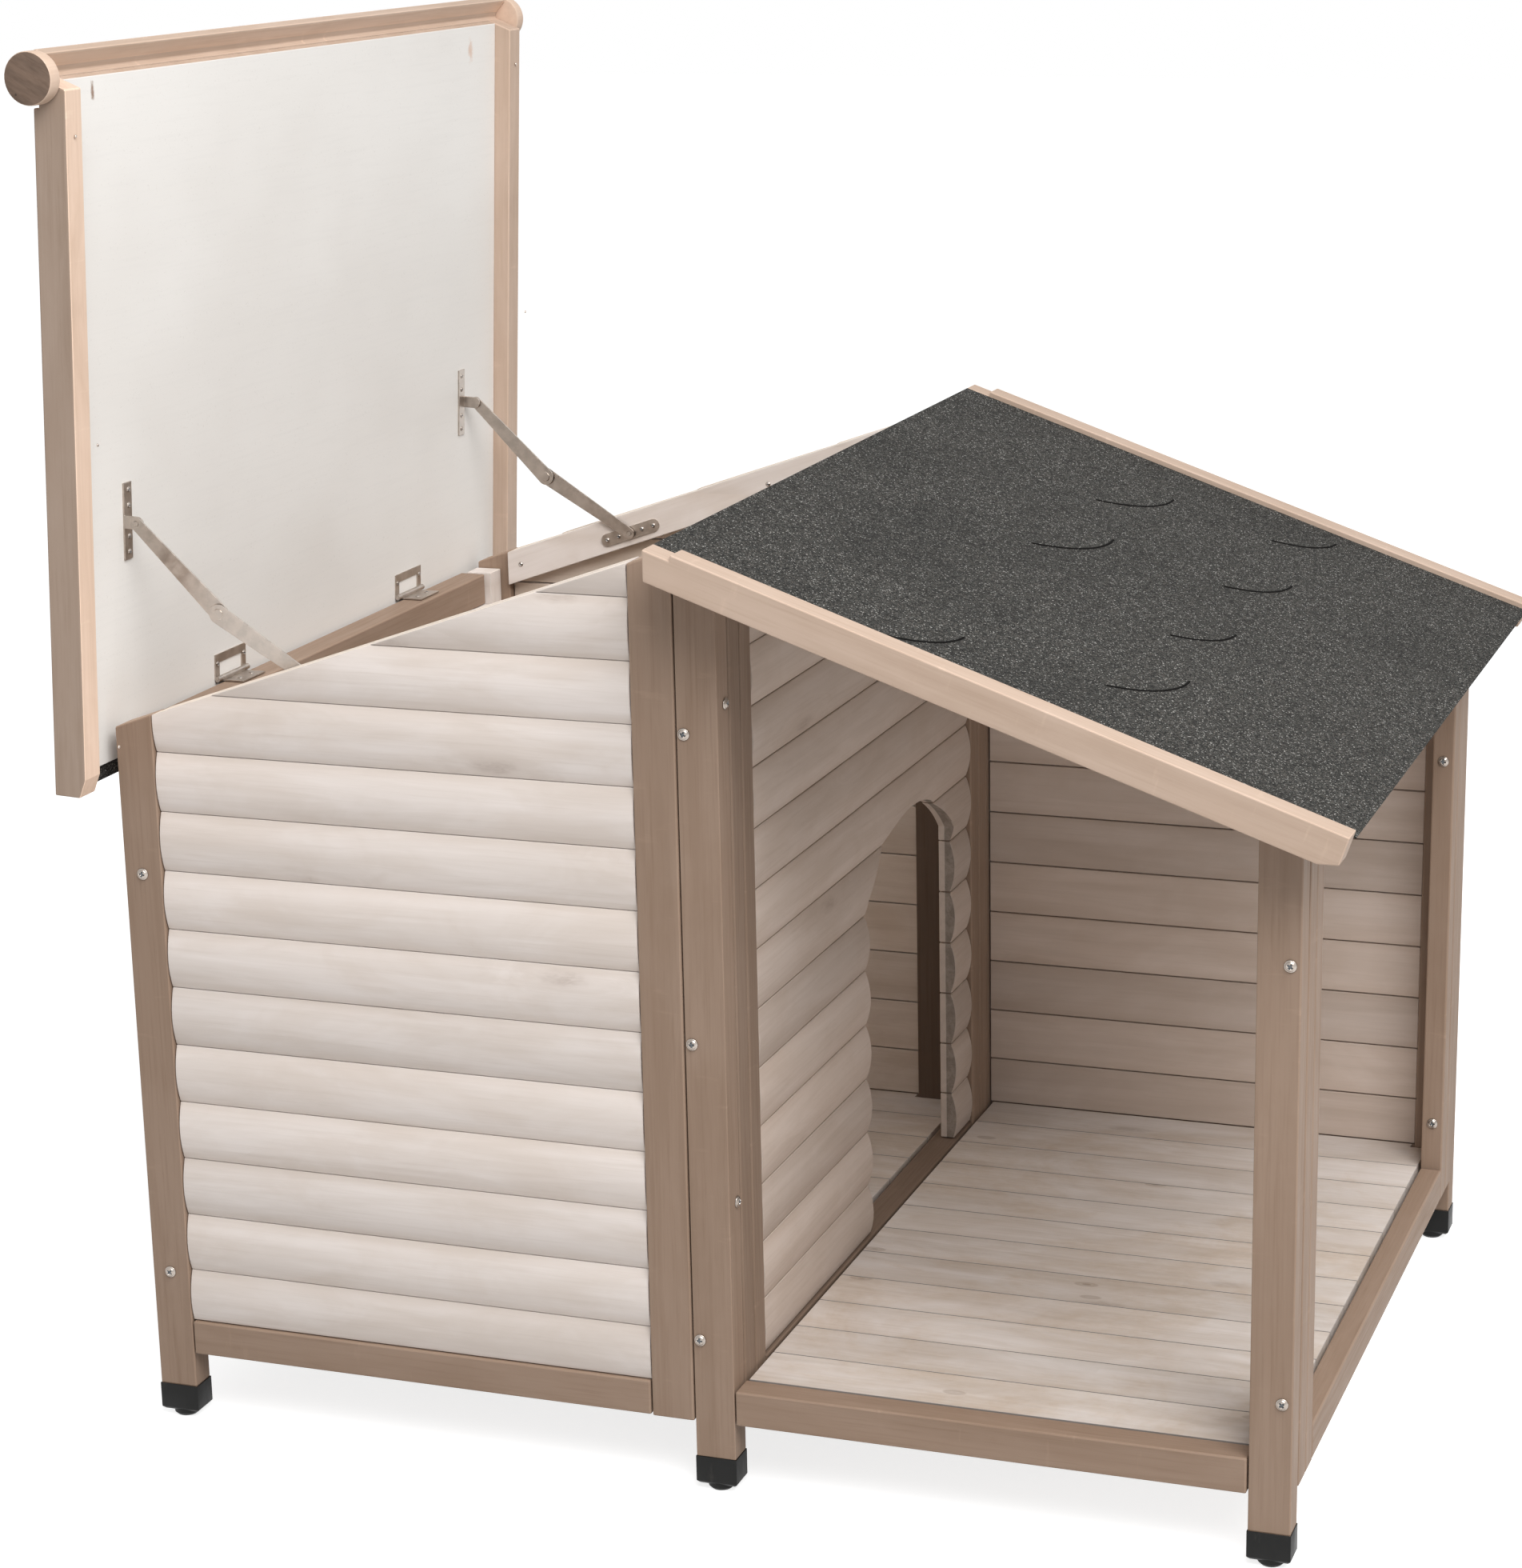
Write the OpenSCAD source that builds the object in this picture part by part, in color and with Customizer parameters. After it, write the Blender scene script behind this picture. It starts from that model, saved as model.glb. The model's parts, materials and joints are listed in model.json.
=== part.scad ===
// Dog kennel with a sleeping room under a hinged half roof and a covered terrace.
// X runs along the front, Y to the back, Z up. All sizes are millimetres.
// The origin lies on the ground, under the middle of the kennel's box with the lid open.

/* [House] */
// Width over the outer faces of the corner posts
body_w = 1205; // [1100:5:1300]
// Depth over the front and back faces of the posts
body_d = 900; // [800:5:1000]
// Height of the roof's underside at the outer faces of the posts
eave_h = 748; // [700:2:800]
// Slope of both half roofs, in degrees
roof_pitch = 19.2; // [18:0.2:21]

/* [Posts and rails] */
// Width of a post along the front
post_w = 43; // [40:1:50]
// Depth of a post
post_d = 31; // [28:1:36]
// Height of a rail
rail_h = 38; // [34:1:44]
// Ground to the underside of the bottom rails
rail_bottom = 74; // [66:1:84]
// Width of the stile beside the middle posts
stile_w = 46; // [40:1:52]
// Width of each of the two strips that make a wall stile
strip_w = 31; // [28:1:36]
// Thickness of the left wall and the door wall frames
wall_t = 31; // [28:1:36]
// Thickness of the open side frame
side_t = 24; // [20:1:30]

/* [Feet] */
// Height of a foot cap
cap_h = 30; // [24:1:36]
// Wall of a foot cap round the post end
cap_wall = 1.5; // [1:0.1:2.5]
// Floor of a foot cap under the post end
cap_floor = 6; // [4:0.5:9]
// Diameter of the round nub under a cap
nub_d = 27; // [20:1:28]
// Height of the nub
nub_h = 7; // [5:0.5:10]
// Chamfer round the foot of a cap and its nub
foot_chamfer = 3; // [2:0.5:4]

/* [Log boards] */
// Height of one half-round board
log_pitch = 61.5; // [55:0.5:70]
// Thickness of a board at its crown
log_t = 20; // [18:0.5:24]
// Depth of the valley between two boards
log_relief = 6; // [4:0.5:8]
// Visible height of the lowest board above the rail
first_log_h = 55.4; // [45:0.2:58]
// Joint between two boards or two strips of a wall
joint_gap = 0.3; // [0.2:0.1:0.6]

/* [Doorway] */
// Width of the doorway
door_w = 306; // [260:2:340]
// Wall left between the doorway and the back stile
door_back = 64; // [50:2:100]
// Height of the doorway at its crown, above the threshold
door_h = 445; // [400:5:500]
// Rise of the doorway's arch
arch_rise = 65; // [45:1:90]

/* [Floor] */
// Thickness of the floor boards
floor_t = 15; // [12:1:18]
// Number of boards in each floor
floor_boards = 12; // [9:1:15]
// Gap between two floor boards
board_gap = 0.8; // [0.5:0.1:1.5]
// Width of a bearer under the floor
bearer_w = 31; // [28:1:40]
// Height of a bearer
bearer_h = 20; // [16:1:22]
// Distance of the outer bearers from the edge of the floor
bearer_in = 40; // [34:1:60]

/* [Roof] */
// Reach of the roof panels past the front and the back of the posts
roof_over = 41; // [30:1:60]
// Thickness of the roof panels
panel_t = 7; // [6:0.5:10]
// Thickness of the felt
felt_t = 2.4; // [2:0.2:4]
// Thickness of the barge boards
barge_t = 30; // [22:1:36]
// Reach of the barge boards under the roof panel
barge_drop = 19; // [15:1:24]
// Height of the barge boards over the felt
barge_lip = 5.6; // [4:0.2:8]
// Reach of the fixed barge boards past the post, along the slope
roof_tail = 52; // [46:1:64]
// Reach of the felt past the ends of the barge boards
felt_lip = 2.5; // [2:0.5:6]
// Distance that the panel stops short of the ends of the barge boards
panel_short = 16; // [10:1:20]
// Length of the level cut at the barge boards' lower corner
barge_toe = 19; // [12:1:24]

/* [Lid] */
// Opening angle of the lid, from closed to its stop
lid_open = 68; // [60:1:70]
// Distance of the hinge axis outside the posts
hinge_out = 8; // [7:0.5:10]
// Reach of the lid's barge boards past the hinge axis, along the slope
lid_tail = 52; // [46:1:60]
// Room between the closed lid and the walls under it
lid_gap = 3; // [2:0.5:5]
// Distance of the fixed roof's upper edge past the middle of the house
ridge_past = 0; // [0:0.5:1.5]
// Gap between the upper edges of the two half roofs
ridge_gap = 7; // [5:0.5:7]

/* [Ridge log] */
// Width of the ridge log across its flats
ridge_across = 48; // [42:1:52]
// Distance of the ridge log from the middle of the house, towards the lid
ridge_shift = 7; // [6:0.5:9]
// Room beside the ridge log in the lid's barge boards
lid_notch_room = 3; // [2:0.5:6]
// Room beside the ridge log in the fixed barge boards
roof_notch_room = 9; // [6:0.5:12]
// Room between the ridge log and the fixed roof
ridge_room = 2; // [1:0.25:3]
// Diameter of the discs on the ends of the ridge log
disc_d = 50; // [44:1:56]
// Thickness of the discs
disc_t = 17; // [12:1:22]
// Room between a disc and the fixed barge board behind it
disc_room = 1; // [0.5:0.25:2]

/* [Hinges] */
// Distance of the front hinge's middle from the front of the house
hinge_front = 262; // [220:2:300]
// Distance of the back hinge's middle from the back of the house
hinge_back = 203; // [180:2:260]
// Length of a hinge along its pin
hinge_l = 67; // [56:1:76]
// Reach of a hinge leaf from the pin
leaf_w = 26; // [22:1:28]
// Thickness of a hinge leaf
leaf_t = 1.5; // [1:0.25:2]
// Width of the bars round the lid leaf's window
leaf_bar = 9; // [7:0.5:11]
// Diameter of a knuckle
knuckle_d = 6; // [5:0.25:7]
// Diameter of a hinge pin
pin_d = 3; // [2.5:0.25:3.5]
// Running room in the hinge, round the pin and between knuckles
hinge_room = 0.4; // [0.3:0.1:0.6]
// Distance of the hinge rail's outer face inside the hinge axis
rail_back = 1; // [0.5:0.5:2]

/* [Cleats and stays] */
// Thickness of the sloped cleat behind the log boards
cleat_t = 18; // [15:1:24]
// Height of the sloped cleat
cleat_h = 40; // [38:1:48]
// Distance of the stay's lid pivot from the hinge axis, along the lid
stay_u = 202; // [185:1:215]
// Distance of the stay's lid pivot from the inner face of the lid
lug_reach = 16; // [14:0.5:20]
// Distance of the stay's wall pivot from the outer face of the left posts
stay_wall = 206; // [190:1:222]
// Distance of the stay's wall pivot below the lid
stay_drop = 27.5; // [25:0.5:32]
// Bend that is left at the knee with the lid open, in degrees
stay_bend = 13; // [8:1:20]
// Thickness of the stay's arms and brackets
stay_t = 2; // [1.5:0.25:2.5]
// Room between the plates of a stay
stay_room = 1; // [0.75:0.25:1.5]
// Width of an arm at its bracket
arm_end = 13; // [11:0.5:15]
// Width of an arm at the knee
arm_knee = 20; // [18:1:24]
// Diameter of the stay's pivots
pivot_d = 5; // [4:0.25:6]
// Room round a pivot in the arm's hole
pivot_room = 0.3; // [0.25:0.05:0.4]
// Length of a stay bracket
bracket_l = 78; // [70:1:90]
// Width of a stay bracket
bracket_w = 15; // [13:0.5:16]

/* [Screws] */
// Head diameter of the post screws
screw_head = 11; // [9:0.5:13]
// Head height of the post screws
screw_rise = 2.6; // [2:0.2:3.4]
// Shank diameter of the post screws
screw_d = 5; // [4:0.25:6]
// Shank length of the post screws
screw_l = 24; // [18:1:28]
// Head diameter of the small screws in brackets and hinges
small_head = 6; // [5:0.25:6.5]
// Head height of the small screws
small_rise = 1.2; // [0.8:0.1:1.5]
// Shank diameter of the small screws
small_d = 3; // [2.5:0.25:3.5]
// Shank length of the small screws
small_l = 6; // [5:0.25:6.5]
// Room round a screw's shank
screw_room = 0.1; // [0.05:0.05:0.2]

/* [Hidden] */
$fn = 48;
wide_fn = 96;
octagon = 8;
over = 1;
// Parts of a size: the flat of a screw's head, a boss of its arm, its rise in the room beside it
head_flat = 0.7;
boss_part = 0.8;
boss_rise = 0.7;
// Places of screws, as parts of a post's depth and a leaf's width
wall_screw_part = 0.7;
leaf_screw_part = 0.6;
taupe = "#96826f";
tan_wood = "#c3ac98";
whitewash = "#ded5cc";
off_white = "#e1dcd7";
charcoal = "#464642";
black = "#2d2d2a";
zinc = "#b9b7b2";

half_w = body_w / 2;
half_d = body_d / 2;
rail_top = rail_bottom + rail_h;
floor_z = rail_top - floor_t;
slope = tan(roof_pitch);
ridge_h = eave_h + half_w * slope;
log_r = (log_pitch * log_pitch / 4 + log_relief * log_relief) / (2 * log_relief);
stile_in = half_d - post_d - 2 * strip_w;
strip_in = half_d - post_d - strip_w;
door_shift = stile_in - door_back - door_w / 2;
log_rows = ceil((ridge_h - rail_top) / log_pitch) + 1;

felt_top = panel_t + felt_t;
barge_up = felt_top + barge_lip;
panel_end = half_d + roof_over;
barge_end = panel_end + barge_t;
disc_face = barge_end + disc_room;

open_lean = roof_pitch + lid_open;
lid_face = knuckle_d / 2 + hinge_room;
hinge_x = -half_w - hinge_out;
hinge_z = eave_h - hinge_out * slope - lid_face / cos(roof_pitch);
hinge_rail_top = hinge_z - knuckle_d / 2 - hinge_room;
hinge_y = [-half_d + hinge_front, half_d - hinge_back];
lid_reach = -ridge_past - ridge_gap - hinge_x;

// Places in the lid's own plane: u runs up the slope from the hinge, v out of the roof
function on_lid(u, v) = [
  hinge_x + u * cos(open_lean) - v * sin(open_lean),
  hinge_z + u * sin(open_lean) + v * cos(open_lean)
];
// Place along the slope of an upright cut at distance d, at height v over the plane
function upright(d, v) = (d + v * sin(roof_pitch)) / cos(roof_pitch);
// Height of the roof's underside over the ground
function under(x) = eave_h + (half_w - abs(x)) * slope;

// The box at rest: the open lid's lower corner on the left, the fixed eave on the right
lid_left = on_lid(-lid_tail, lid_face + barge_up)[0];
eave_right = half_w + max(
  roof_tail * cos(roof_pitch) + barge_up * sin(roof_pitch),
  (roof_tail + felt_lip) * cos(roof_pitch) + felt_top * sin(roof_pitch)
);
x_mid = (lid_left + eave_right) / 2;

// Layers of a stay, as distances from the outer face of the wall that it stands by
cleat_face = log_t + cleat_t;
arm_clear = small_rise + stay_room / 2;
lower_layer = cleat_face + stay_t + arm_clear;
upper_layer = lower_layer + stay_t + stay_room;
lug_layer = upper_layer + stay_t + stay_room;
// Pivots of a stay with the lid open, as X and Z
lid_pivot = on_lid(stay_u, lid_face - lug_reach);
wall_pivot = [-half_w + stay_wall, under(-half_w + stay_wall) - stay_drop];
stay_span = norm(wall_pivot - lid_pivot);
stay_dir = (wall_pivot - lid_pivot) / stay_span;
arm_l = stay_span / 2 / cos(stay_bend / 2);
knee_sag = stay_span / 2 * tan(stay_bend / 2);
knee = (lid_pivot + wall_pivot) / 2 + knee_sag * [stay_dir[1], -stay_dir[0]];
bracket_screws = [-bracket_l / 2 + bracket_w / 2, -bracket_l / 4 + bracket_w / 4,
  bracket_l / 4 - bracket_w / 4, bracket_l / 2 - bracket_w / 2];

// Post screws in the front and back faces, as X and Z
outer_screw_in = 21;
side_screw_in = 11;
right_screw_up = 7;
outer_screw_z = [164, 594];
mid_screw_x = 8;
mid_screw_z = [162, 470, 778];
face_screws = concat(
  [for (z = outer_screw_z) [-half_w + outer_screw_in, z]],
  [for (z = mid_screw_z) [mid_screw_x, z]],
  [for (z = outer_screw_z) [half_w - side_screw_in, z + right_screw_up]]
);
// Screws in the front middle post, through its side by the terrace, as Z
wall_screw_z = [304, 805];
// Screws in the side frame's stiles, as Z
stile_screw_z = [166, 592];
// Screws in the cleats, as distances from the outer face of the left posts
cleat_screw_in = [61, 382];

// Moves the house so that the origin is under the middle of its box
module placed() {
  translate([-x_mid, 0, 0]) children();
}

// A block from its limits along X, Y and Z
module block(x, y, z) {
  translate([x[0], y[0], z[0]]) cube([x[1] - x[0], y[1] - y[0], z[1] - z[0]]);
}

// Draws an outline in X and Z along Y, from y0 to y1
module along_y(y0, y1) {
  translate([0, y1, 0]) rotate([90, 0, 0]) linear_extrude(y1 - y0) children();
}

// Draws an outline in Y and Z along X, from x0 to x1
module along_x(x0, x1) {
  translate([x0, 0, 0]) rotate([90, 0, 90]) linear_extrude(x1 - x0) children();
}

// Repeats what stands at the front also at the back
module front_and_back() {
  children();
  mirror([0, 1, 0]) children();
}

// The space under both half roofs, with room under the lid
module under_roof() {
  intersection() {
    children();
    along_y(-body_d, body_d) polygon([
      [-body_w, 0], [-body_w, under(-body_w) - lid_gap], [0, ridge_h - lid_gap],
      [0, ridge_h], [body_w, under(body_w)], [body_w, 0]
    ]);
  }
}

// A round head and its shank, from the surface at z = 0 down
module screw(head, rise, d, l) {
  cylinder(d1 = head, d2 = head * head_flat, h = rise);
  translate([0, 0, -l]) cylinder(d = d, h = l + rise / 2);
}

module big_screw() {
  screw(screw_head, screw_rise, screw_d, screw_l);
}

module small_screw() {
  screw(small_head, small_rise, small_d, small_l);
}

module screw_hole(d, l) {
  translate([0, 0, -l - over]) cylinder(d = d + 2 * screw_room, h = l + 2 * over);
}

module big_hole() {
  screw_hole(screw_d, screw_l);
}

module small_hole() {
  screw_hole(small_d, small_l);
}

// Puts a screw, or the hole for one, at each place of the post screws
module at_post_screws() {
  front_and_back() for (p = face_screws) translate([p[0], -half_d, p[1]]) rotate([90, 0, 0]) children();
  for (z = wall_screw_z)
    translate([post_w, -half_d + post_d * wall_screw_part, z]) rotate([0, 90, 0]) children();
  front_and_back() for (z = stile_screw_z)
    translate([half_w - side_t / 2, -stile_in, z]) rotate([-90, 0, 0]) children();
}

// Posts
module post(x, back) {
  difference() {
    mirror([0, back ? 1 : 0, 0]) difference() {
      under_roof() block([x, x + post_w], [-half_d, -half_d + post_d], [nub_h + cap_floor, ridge_h]);
      post_end(x);
    }
    at_post_screws() big_hole();
  }
}

// The post is thinned all round where the foot cap sits
module post_end(x) {
  difference() {
    block([x - over, x + post_w + over], [-half_d - over, -half_d + post_d + over], [0, nub_h + cap_h]);
    block([x + cap_wall, x + post_w - cap_wall], [-half_d + cap_wall, -half_d + post_d - cap_wall],
      [-over, nub_h + cap_h + over]);
  }
}

module post_front_left() { color(taupe) placed() post(-half_w, false); }
module post_front_middle() { color(taupe) placed() post(0, false); }
module post_front_right() { color(taupe) placed() post(half_w - post_w, false); }
module post_back_left() { color(taupe) placed() post(-half_w, true); }
module post_back_middle() { color(taupe) placed() post(0, true); }
module post_back_right() { color(taupe) placed() post(half_w - post_w, true); }

// A cap round the post end, with a round nub that meets the ground
module foot_cap() {
  difference() {
    foot_cap_body();
    translate([cap_wall, cap_wall, nub_h + cap_floor])
      cube([post_w - 2 * cap_wall, post_d - 2 * cap_wall, cap_h]);
  }
}

module foot_cap_body() {
  intersection() {
    translate([0, 0, nub_h]) cube([post_w, post_d, cap_h]);
    along_y(0, post_d) foot_outline(post_w);
    along_x(0, post_w) foot_outline(post_d);
  }
  translate([post_w / 2, post_d / 2, 0]) {
    cylinder(d1 = nub_d - 2 * foot_chamfer, d2 = nub_d, h = foot_chamfer);
    translate([0, 0, foot_chamfer]) cylinder(d = nub_d, h = nub_h + cap_floor / 2 - foot_chamfer);
  }
}

module foot_outline(w) {
  polygon([
    [foot_chamfer, nub_h], [w - foot_chamfer, nub_h], [w, nub_h + foot_chamfer],
    [w, nub_h + cap_h], [0, nub_h + cap_h], [0, nub_h + foot_chamfer]
  ]);
}

module foot_caps() {
  color(black) placed() front_and_back()
    for (x = [-half_w, 0, half_w - post_w]) translate([x, -half_d, 0]) foot_cap();
}

// Half-round boards
module log_outline() {
  intersection() {
    translate([0, joint_gap / 2]) square([log_t, log_pitch - joint_gap]);
    translate([log_r, log_pitch / 2]) circle(r = log_r, $fn = wide_fn);
  }
}

// A wall of boards along X, crowns towards the front, from z0 up
module log_wall(x, z0, z1) {
  for (row = [0 : log_rows - 1]) {
    z = rail_top + first_log_h + (row - 1) * log_pitch;
    if (z < z1)
      intersection() {
        translate([0, -half_d, z]) along_x(x[0], x[1]) log_outline();
        block([x[0] - over, x[1] + over], [-half_d - over, half_d], [z0, z1]);
      }
  }
}

// The same wall turned to run along Y, with its crowns at the house's left
module side_log_wall(y, z0, z1) {
  rotate([0, 0, -90]) translate([0, half_d, 0]) log_wall([-y[1], -y[0]], z0, z1);
}

// Front and back panels of the sleeping room
module panel_rail() {
  block([-half_w + post_w, -stile_w], [-half_d, -half_d + post_d], [rail_bottom, rail_top]);
}

module back_rail(x) {
  block(x, [half_d - log_t, half_d], [rail_bottom, rail_top]);
}

module panel_logs() {
  under_roof() log_wall([-half_w + post_w, -stile_w], rail_top, ridge_h);
}

module panel_stile() {
  under_roof() block([-stile_w, 0], [-half_d, -half_d + post_d], [rail_bottom, ridge_h]);
}

// A sloped cleat behind the upper edge of the boards
module cleat() {
  x0 = -half_w + post_w;
  difference() {
    along_y(-half_d + log_t, -half_d + cleat_face) polygon([
      [x0, under(x0) - lid_gap - cleat_h], [-stile_w, under(stile_w) - lid_gap - cleat_h],
      [-stile_w, under(stile_w) - lid_gap], [x0, under(x0) - lid_gap]
    ]);
    at_wall_bracket(-1) small_hole();
    at_cleat(-1) small_hole();
  }
}

// Puts a screw, or its hole, at each place on a cleat: the front one for side -1, the back one for side 1
module at_cleat(side) {
  for (x = cleat_screw_in)
    translate([-half_w + x, side * (half_d - cleat_face), under(-half_w + x) - lid_gap - cleat_h / 2])
      rotate([side * 90, 0, 0]) children();
}

module front_panel_rail() { color(taupe) placed() panel_rail(); }
module front_panel_logs() { color(whitewash) placed() panel_logs(); }
module front_panel_stile() { color(taupe) placed() panel_stile(); }
module front_cleat() { color(whitewash) placed() cleat(); }
module back_panel_rail() { color(taupe) placed() back_rail([-half_w + post_w, -stile_w]); }
module back_panel_logs() { color(whitewash) placed() mirror([0, 1, 0]) panel_logs(); }
module back_panel_stile() { color(taupe) placed() mirror([0, 1, 0]) panel_stile(); }
module back_cleat() { color(whitewash) placed() mirror([0, 1, 0]) cleat(); }

// Left wall under the hinges
module left_wall_rail() {
  color(taupe) placed()
    block([-half_w, -half_w + wall_t], [-stile_in, stile_in], [rail_bottom, rail_top]);
}

module left_wall_logs() {
  color(whitewash) placed()
    translate([-half_w, 0, 0]) side_log_wall([-stile_in, stile_in], rail_top, hinge_rail_top - rail_h);
}

module left_wall_stile() {
  x = [-half_w, -half_w + wall_t];
  block(x, [-strip_in + joint_gap, -stile_in], [rail_bottom, hinge_rail_top - rail_h]);
  block(x, [-half_d + post_d, -strip_in], [rail_bottom, hinge_rail_top]);
}

module left_wall_front_stile() { color(whitewash) placed() left_wall_stile(); }
module left_wall_back_stile() { color(whitewash) placed() mirror([0, 1, 0]) left_wall_stile(); }

module hinge_rail() {
  color(taupe) placed() difference() {
    block([hinge_x + rail_back, hinge_x + rail_back + wall_t], [-strip_in, strip_in],
      [hinge_rail_top - rail_h, hinge_rail_top]);
    at_wall_leaf_screws() small_hole();
  }
}

// Door wall between the sleeping room and the terrace
door_wall_x = [post_w - wall_t, post_w];

module door_wall_threshold() {
  color(taupe) placed() block(door_wall_x, [-stile_in, stile_in], [rail_bottom, rail_top]);
}

module doorway() {
  arch_r = (door_w * door_w / 4 + arch_rise * arch_rise) / (2 * arch_rise);
  intersection() {
    translate([-door_w / 2, -over]) square([door_w, door_h + 2 * over]);
    union() {
      translate([0, door_h - arch_r]) circle(r = arch_r, $fn = wide_fn);
      translate([-door_w, -2 * over]) square([2 * door_w, door_h - arch_rise * 2]);
    }
  }
}

// Lower joint of the board that holds the crown of the arch
arch_z = rail_top + first_log_h + floor((door_h - first_log_h) / log_pitch) * log_pitch;

// The wall's boards between two heights, with the doorway cut out
module door_boards(z0, z1) {
  difference() {
    under_roof() translate([post_w, 0, 0]) mirror([1, 0, 0])
      side_log_wall([-stile_in, stile_in], z0, z1);
    translate([0, door_shift, rail_top]) along_x(0, post_w + over) doorway();
  }
}

module door_wall_logs() {
  color(whitewash) placed() {
    door_boards(rail_top, arch_z - log_pitch);
    door_boards(arch_z + log_pitch, ridge_h);
  }
}

// The boards beside the arch, cut apart by the doorway
module arch_side(y) {
  color(whitewash) placed() intersection() {
    door_boards(arch_z - log_pitch, arch_z);
    block([0, post_w], y, [0, ridge_h]);
  }
}

module door_arch_front_log() { arch_side([-half_d, door_shift]); }
module door_arch_back_log() { arch_side([door_shift, half_d]); }
module door_arch_top_log() { color(whitewash) placed() door_boards(arch_z, arch_z + log_pitch); }

module door_wall_stile() {
  difference() {
    under_roof() {
      block(door_wall_x, [-strip_in + joint_gap, -stile_in], [rail_bottom, ridge_h]);
      block(door_wall_x, [-half_d + post_d, -strip_in], [rail_bottom, ridge_h]);
    }
    at_post_screws() big_hole();
  }
}

module door_wall_front_stile() { color(taupe) placed() door_wall_stile(); }
module door_wall_back_stile() { color(taupe) placed() mirror([0, 1, 0]) door_wall_stile(); }

// Terrace
module terrace_front_rail() {
  color(taupe) placed()
    block([post_w, half_w - post_w], [-half_d, -half_d + post_d], [rail_bottom, rail_top]);
}

module terrace_back_rail() {
  color(taupe) placed() back_rail([post_w, half_w - post_w]);
}

module terrace_back_logs() {
  color(whitewash) placed() mirror([0, 1, 0])
    under_roof() log_wall([post_w, half_w - post_w], rail_top, ridge_h);
}

side_x = [half_w - side_t, half_w];

module side_frame_rail() {
  color(taupe) placed() block(side_x, [-stile_in, stile_in], [rail_bottom, rail_top]);
}

module side_frame_top_rail() {
  color(taupe) placed() under_roof()
    block(side_x, [-stile_in, stile_in], [eave_h - rail_h, ridge_h]);
}

module side_frame_stile() {
  difference() {
    under_roof() {
      block(side_x, [-strip_in + joint_gap, -stile_in], [rail_bottom, ridge_h]);
      block(side_x, [-half_d + post_d, -strip_in], [rail_bottom, ridge_h]);
    }
    at_post_screws() big_hole();
  }
}

module side_frame_front_stile() { color(taupe) placed() side_frame_stile(); }
module side_frame_back_stile() { color(taupe) placed() mirror([0, 1, 0]) side_frame_stile(); }

// Floors
floor_y = [-half_d + post_d, half_d - log_t];
sleep_x = [-half_w + wall_t, post_w - wall_t];
terrace_x = [post_w, half_w - side_t];

module floor_of_boards(x) {
  w = (floor_y[1] - floor_y[0]) / floor_boards;
  difference() {
    for (i = [0 : floor_boards - 1])
      block(x, [floor_y[0] + i * w + board_gap / 2, floor_y[0] + (i + 1) * w - board_gap / 2],
        [floor_z, rail_top]);
    for (px = [-half_w, 0, half_w - post_w])
      block([px, px + post_w], [half_d - post_d, half_d], [0, eave_h]);
    block([-stile_w, 0], [half_d - post_d, half_d], [0, eave_h]);
  }
}

module sleeping_floor_boards() { color(whitewash) placed() floor_of_boards(sleep_x); }
module terrace_floor_boards() { color(whitewash) placed() floor_of_boards(terrace_x); }

module bearers(x0, x1) {
  for (x = [x0 + bearer_in, (x0 + x1 - bearer_w) / 2, x1 - bearer_in - bearer_w])
    block([x, x + bearer_w], floor_y, [floor_z - bearer_h, floor_z]);
}

module floor_bearers() {
  color(taupe) placed() {
    bearers(sleep_x[0], -stile_w);
    bearers(terrace_x[0], terrace_x[1]);
  }
}

// Half roofs
module slab(tail, d, v0, v1) {
  polygon([[-tail, v0], [upright(d, v0), v0], [upright(d, v1), v1], [-tail, v1]]);
}

// A barge board: upright upper end with a notch for the ridge log, level cut at the lower corner
module barge(tail, d, notch_d) {
  difference() {
    slab(tail, d, -barge_drop, barge_up);
    translate([upright(notch_d, felt_top), felt_top]) square([barge_up + 2 * disc_d, barge_up]);
    translate([-tail, -barge_drop])
      polygon([[-over, (barge_toe + over) * slope], [barge_toe + over, -over * slope], [-over, -over]]);
  }
}

// Turns an outline in the plane of the fixed roof into X and Z
module roof_plane() {
  mirror([1, 0]) translate([-half_w, eave_h]) rotate(roof_pitch) children();
}

roof_reach = half_w + ridge_past;
roof_notch = half_w + ridge_shift - ridge_across / 2 - roof_notch_room;

module roof_panel() {
  color(off_white) placed() along_y(-panel_end, panel_end)
    roof_plane() slab(roof_tail - panel_short, roof_reach, 0, panel_t);
}

module roof_felt() {
  color(charcoal) placed() along_y(-panel_end, panel_end)
    roof_plane() slab(roof_tail + felt_lip, roof_reach, panel_t, felt_top);
}

module roof_barge() {
  along_y(-barge_end, -panel_end) roof_plane() barge(roof_tail, roof_reach, roof_notch);
}

module roof_barge_front() { color(tan_wood) placed() roof_barge(); }
module roof_barge_back() { color(tan_wood) placed() mirror([0, 1, 0]) roof_barge(); }

// Turns an outline in the plane of the open lid into X and Z
module lid_plane() {
  translate([hinge_x, hinge_z]) rotate(open_lean) children();
}

// The same, with v counted from the inner face of the lid's panel
module lid_roof() {
  lid_plane() translate([0, lid_face]) children();
}

// Upright cuts count from the hinge axis, so the lid's face moves them along the slope
lid_cut = lid_reach + lid_face * sin(roof_pitch);
lid_notch = -ridge_shift - ridge_across / 2 - lid_notch_room - hinge_x + lid_face * sin(roof_pitch);

module lid_panel() {
  color(off_white) placed() difference() {
    along_y(-panel_end, panel_end) lid_roof() slab(lid_tail - panel_short, lid_cut, 0, panel_t);
    at_lid_screws() small_hole();
  }
}

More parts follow.
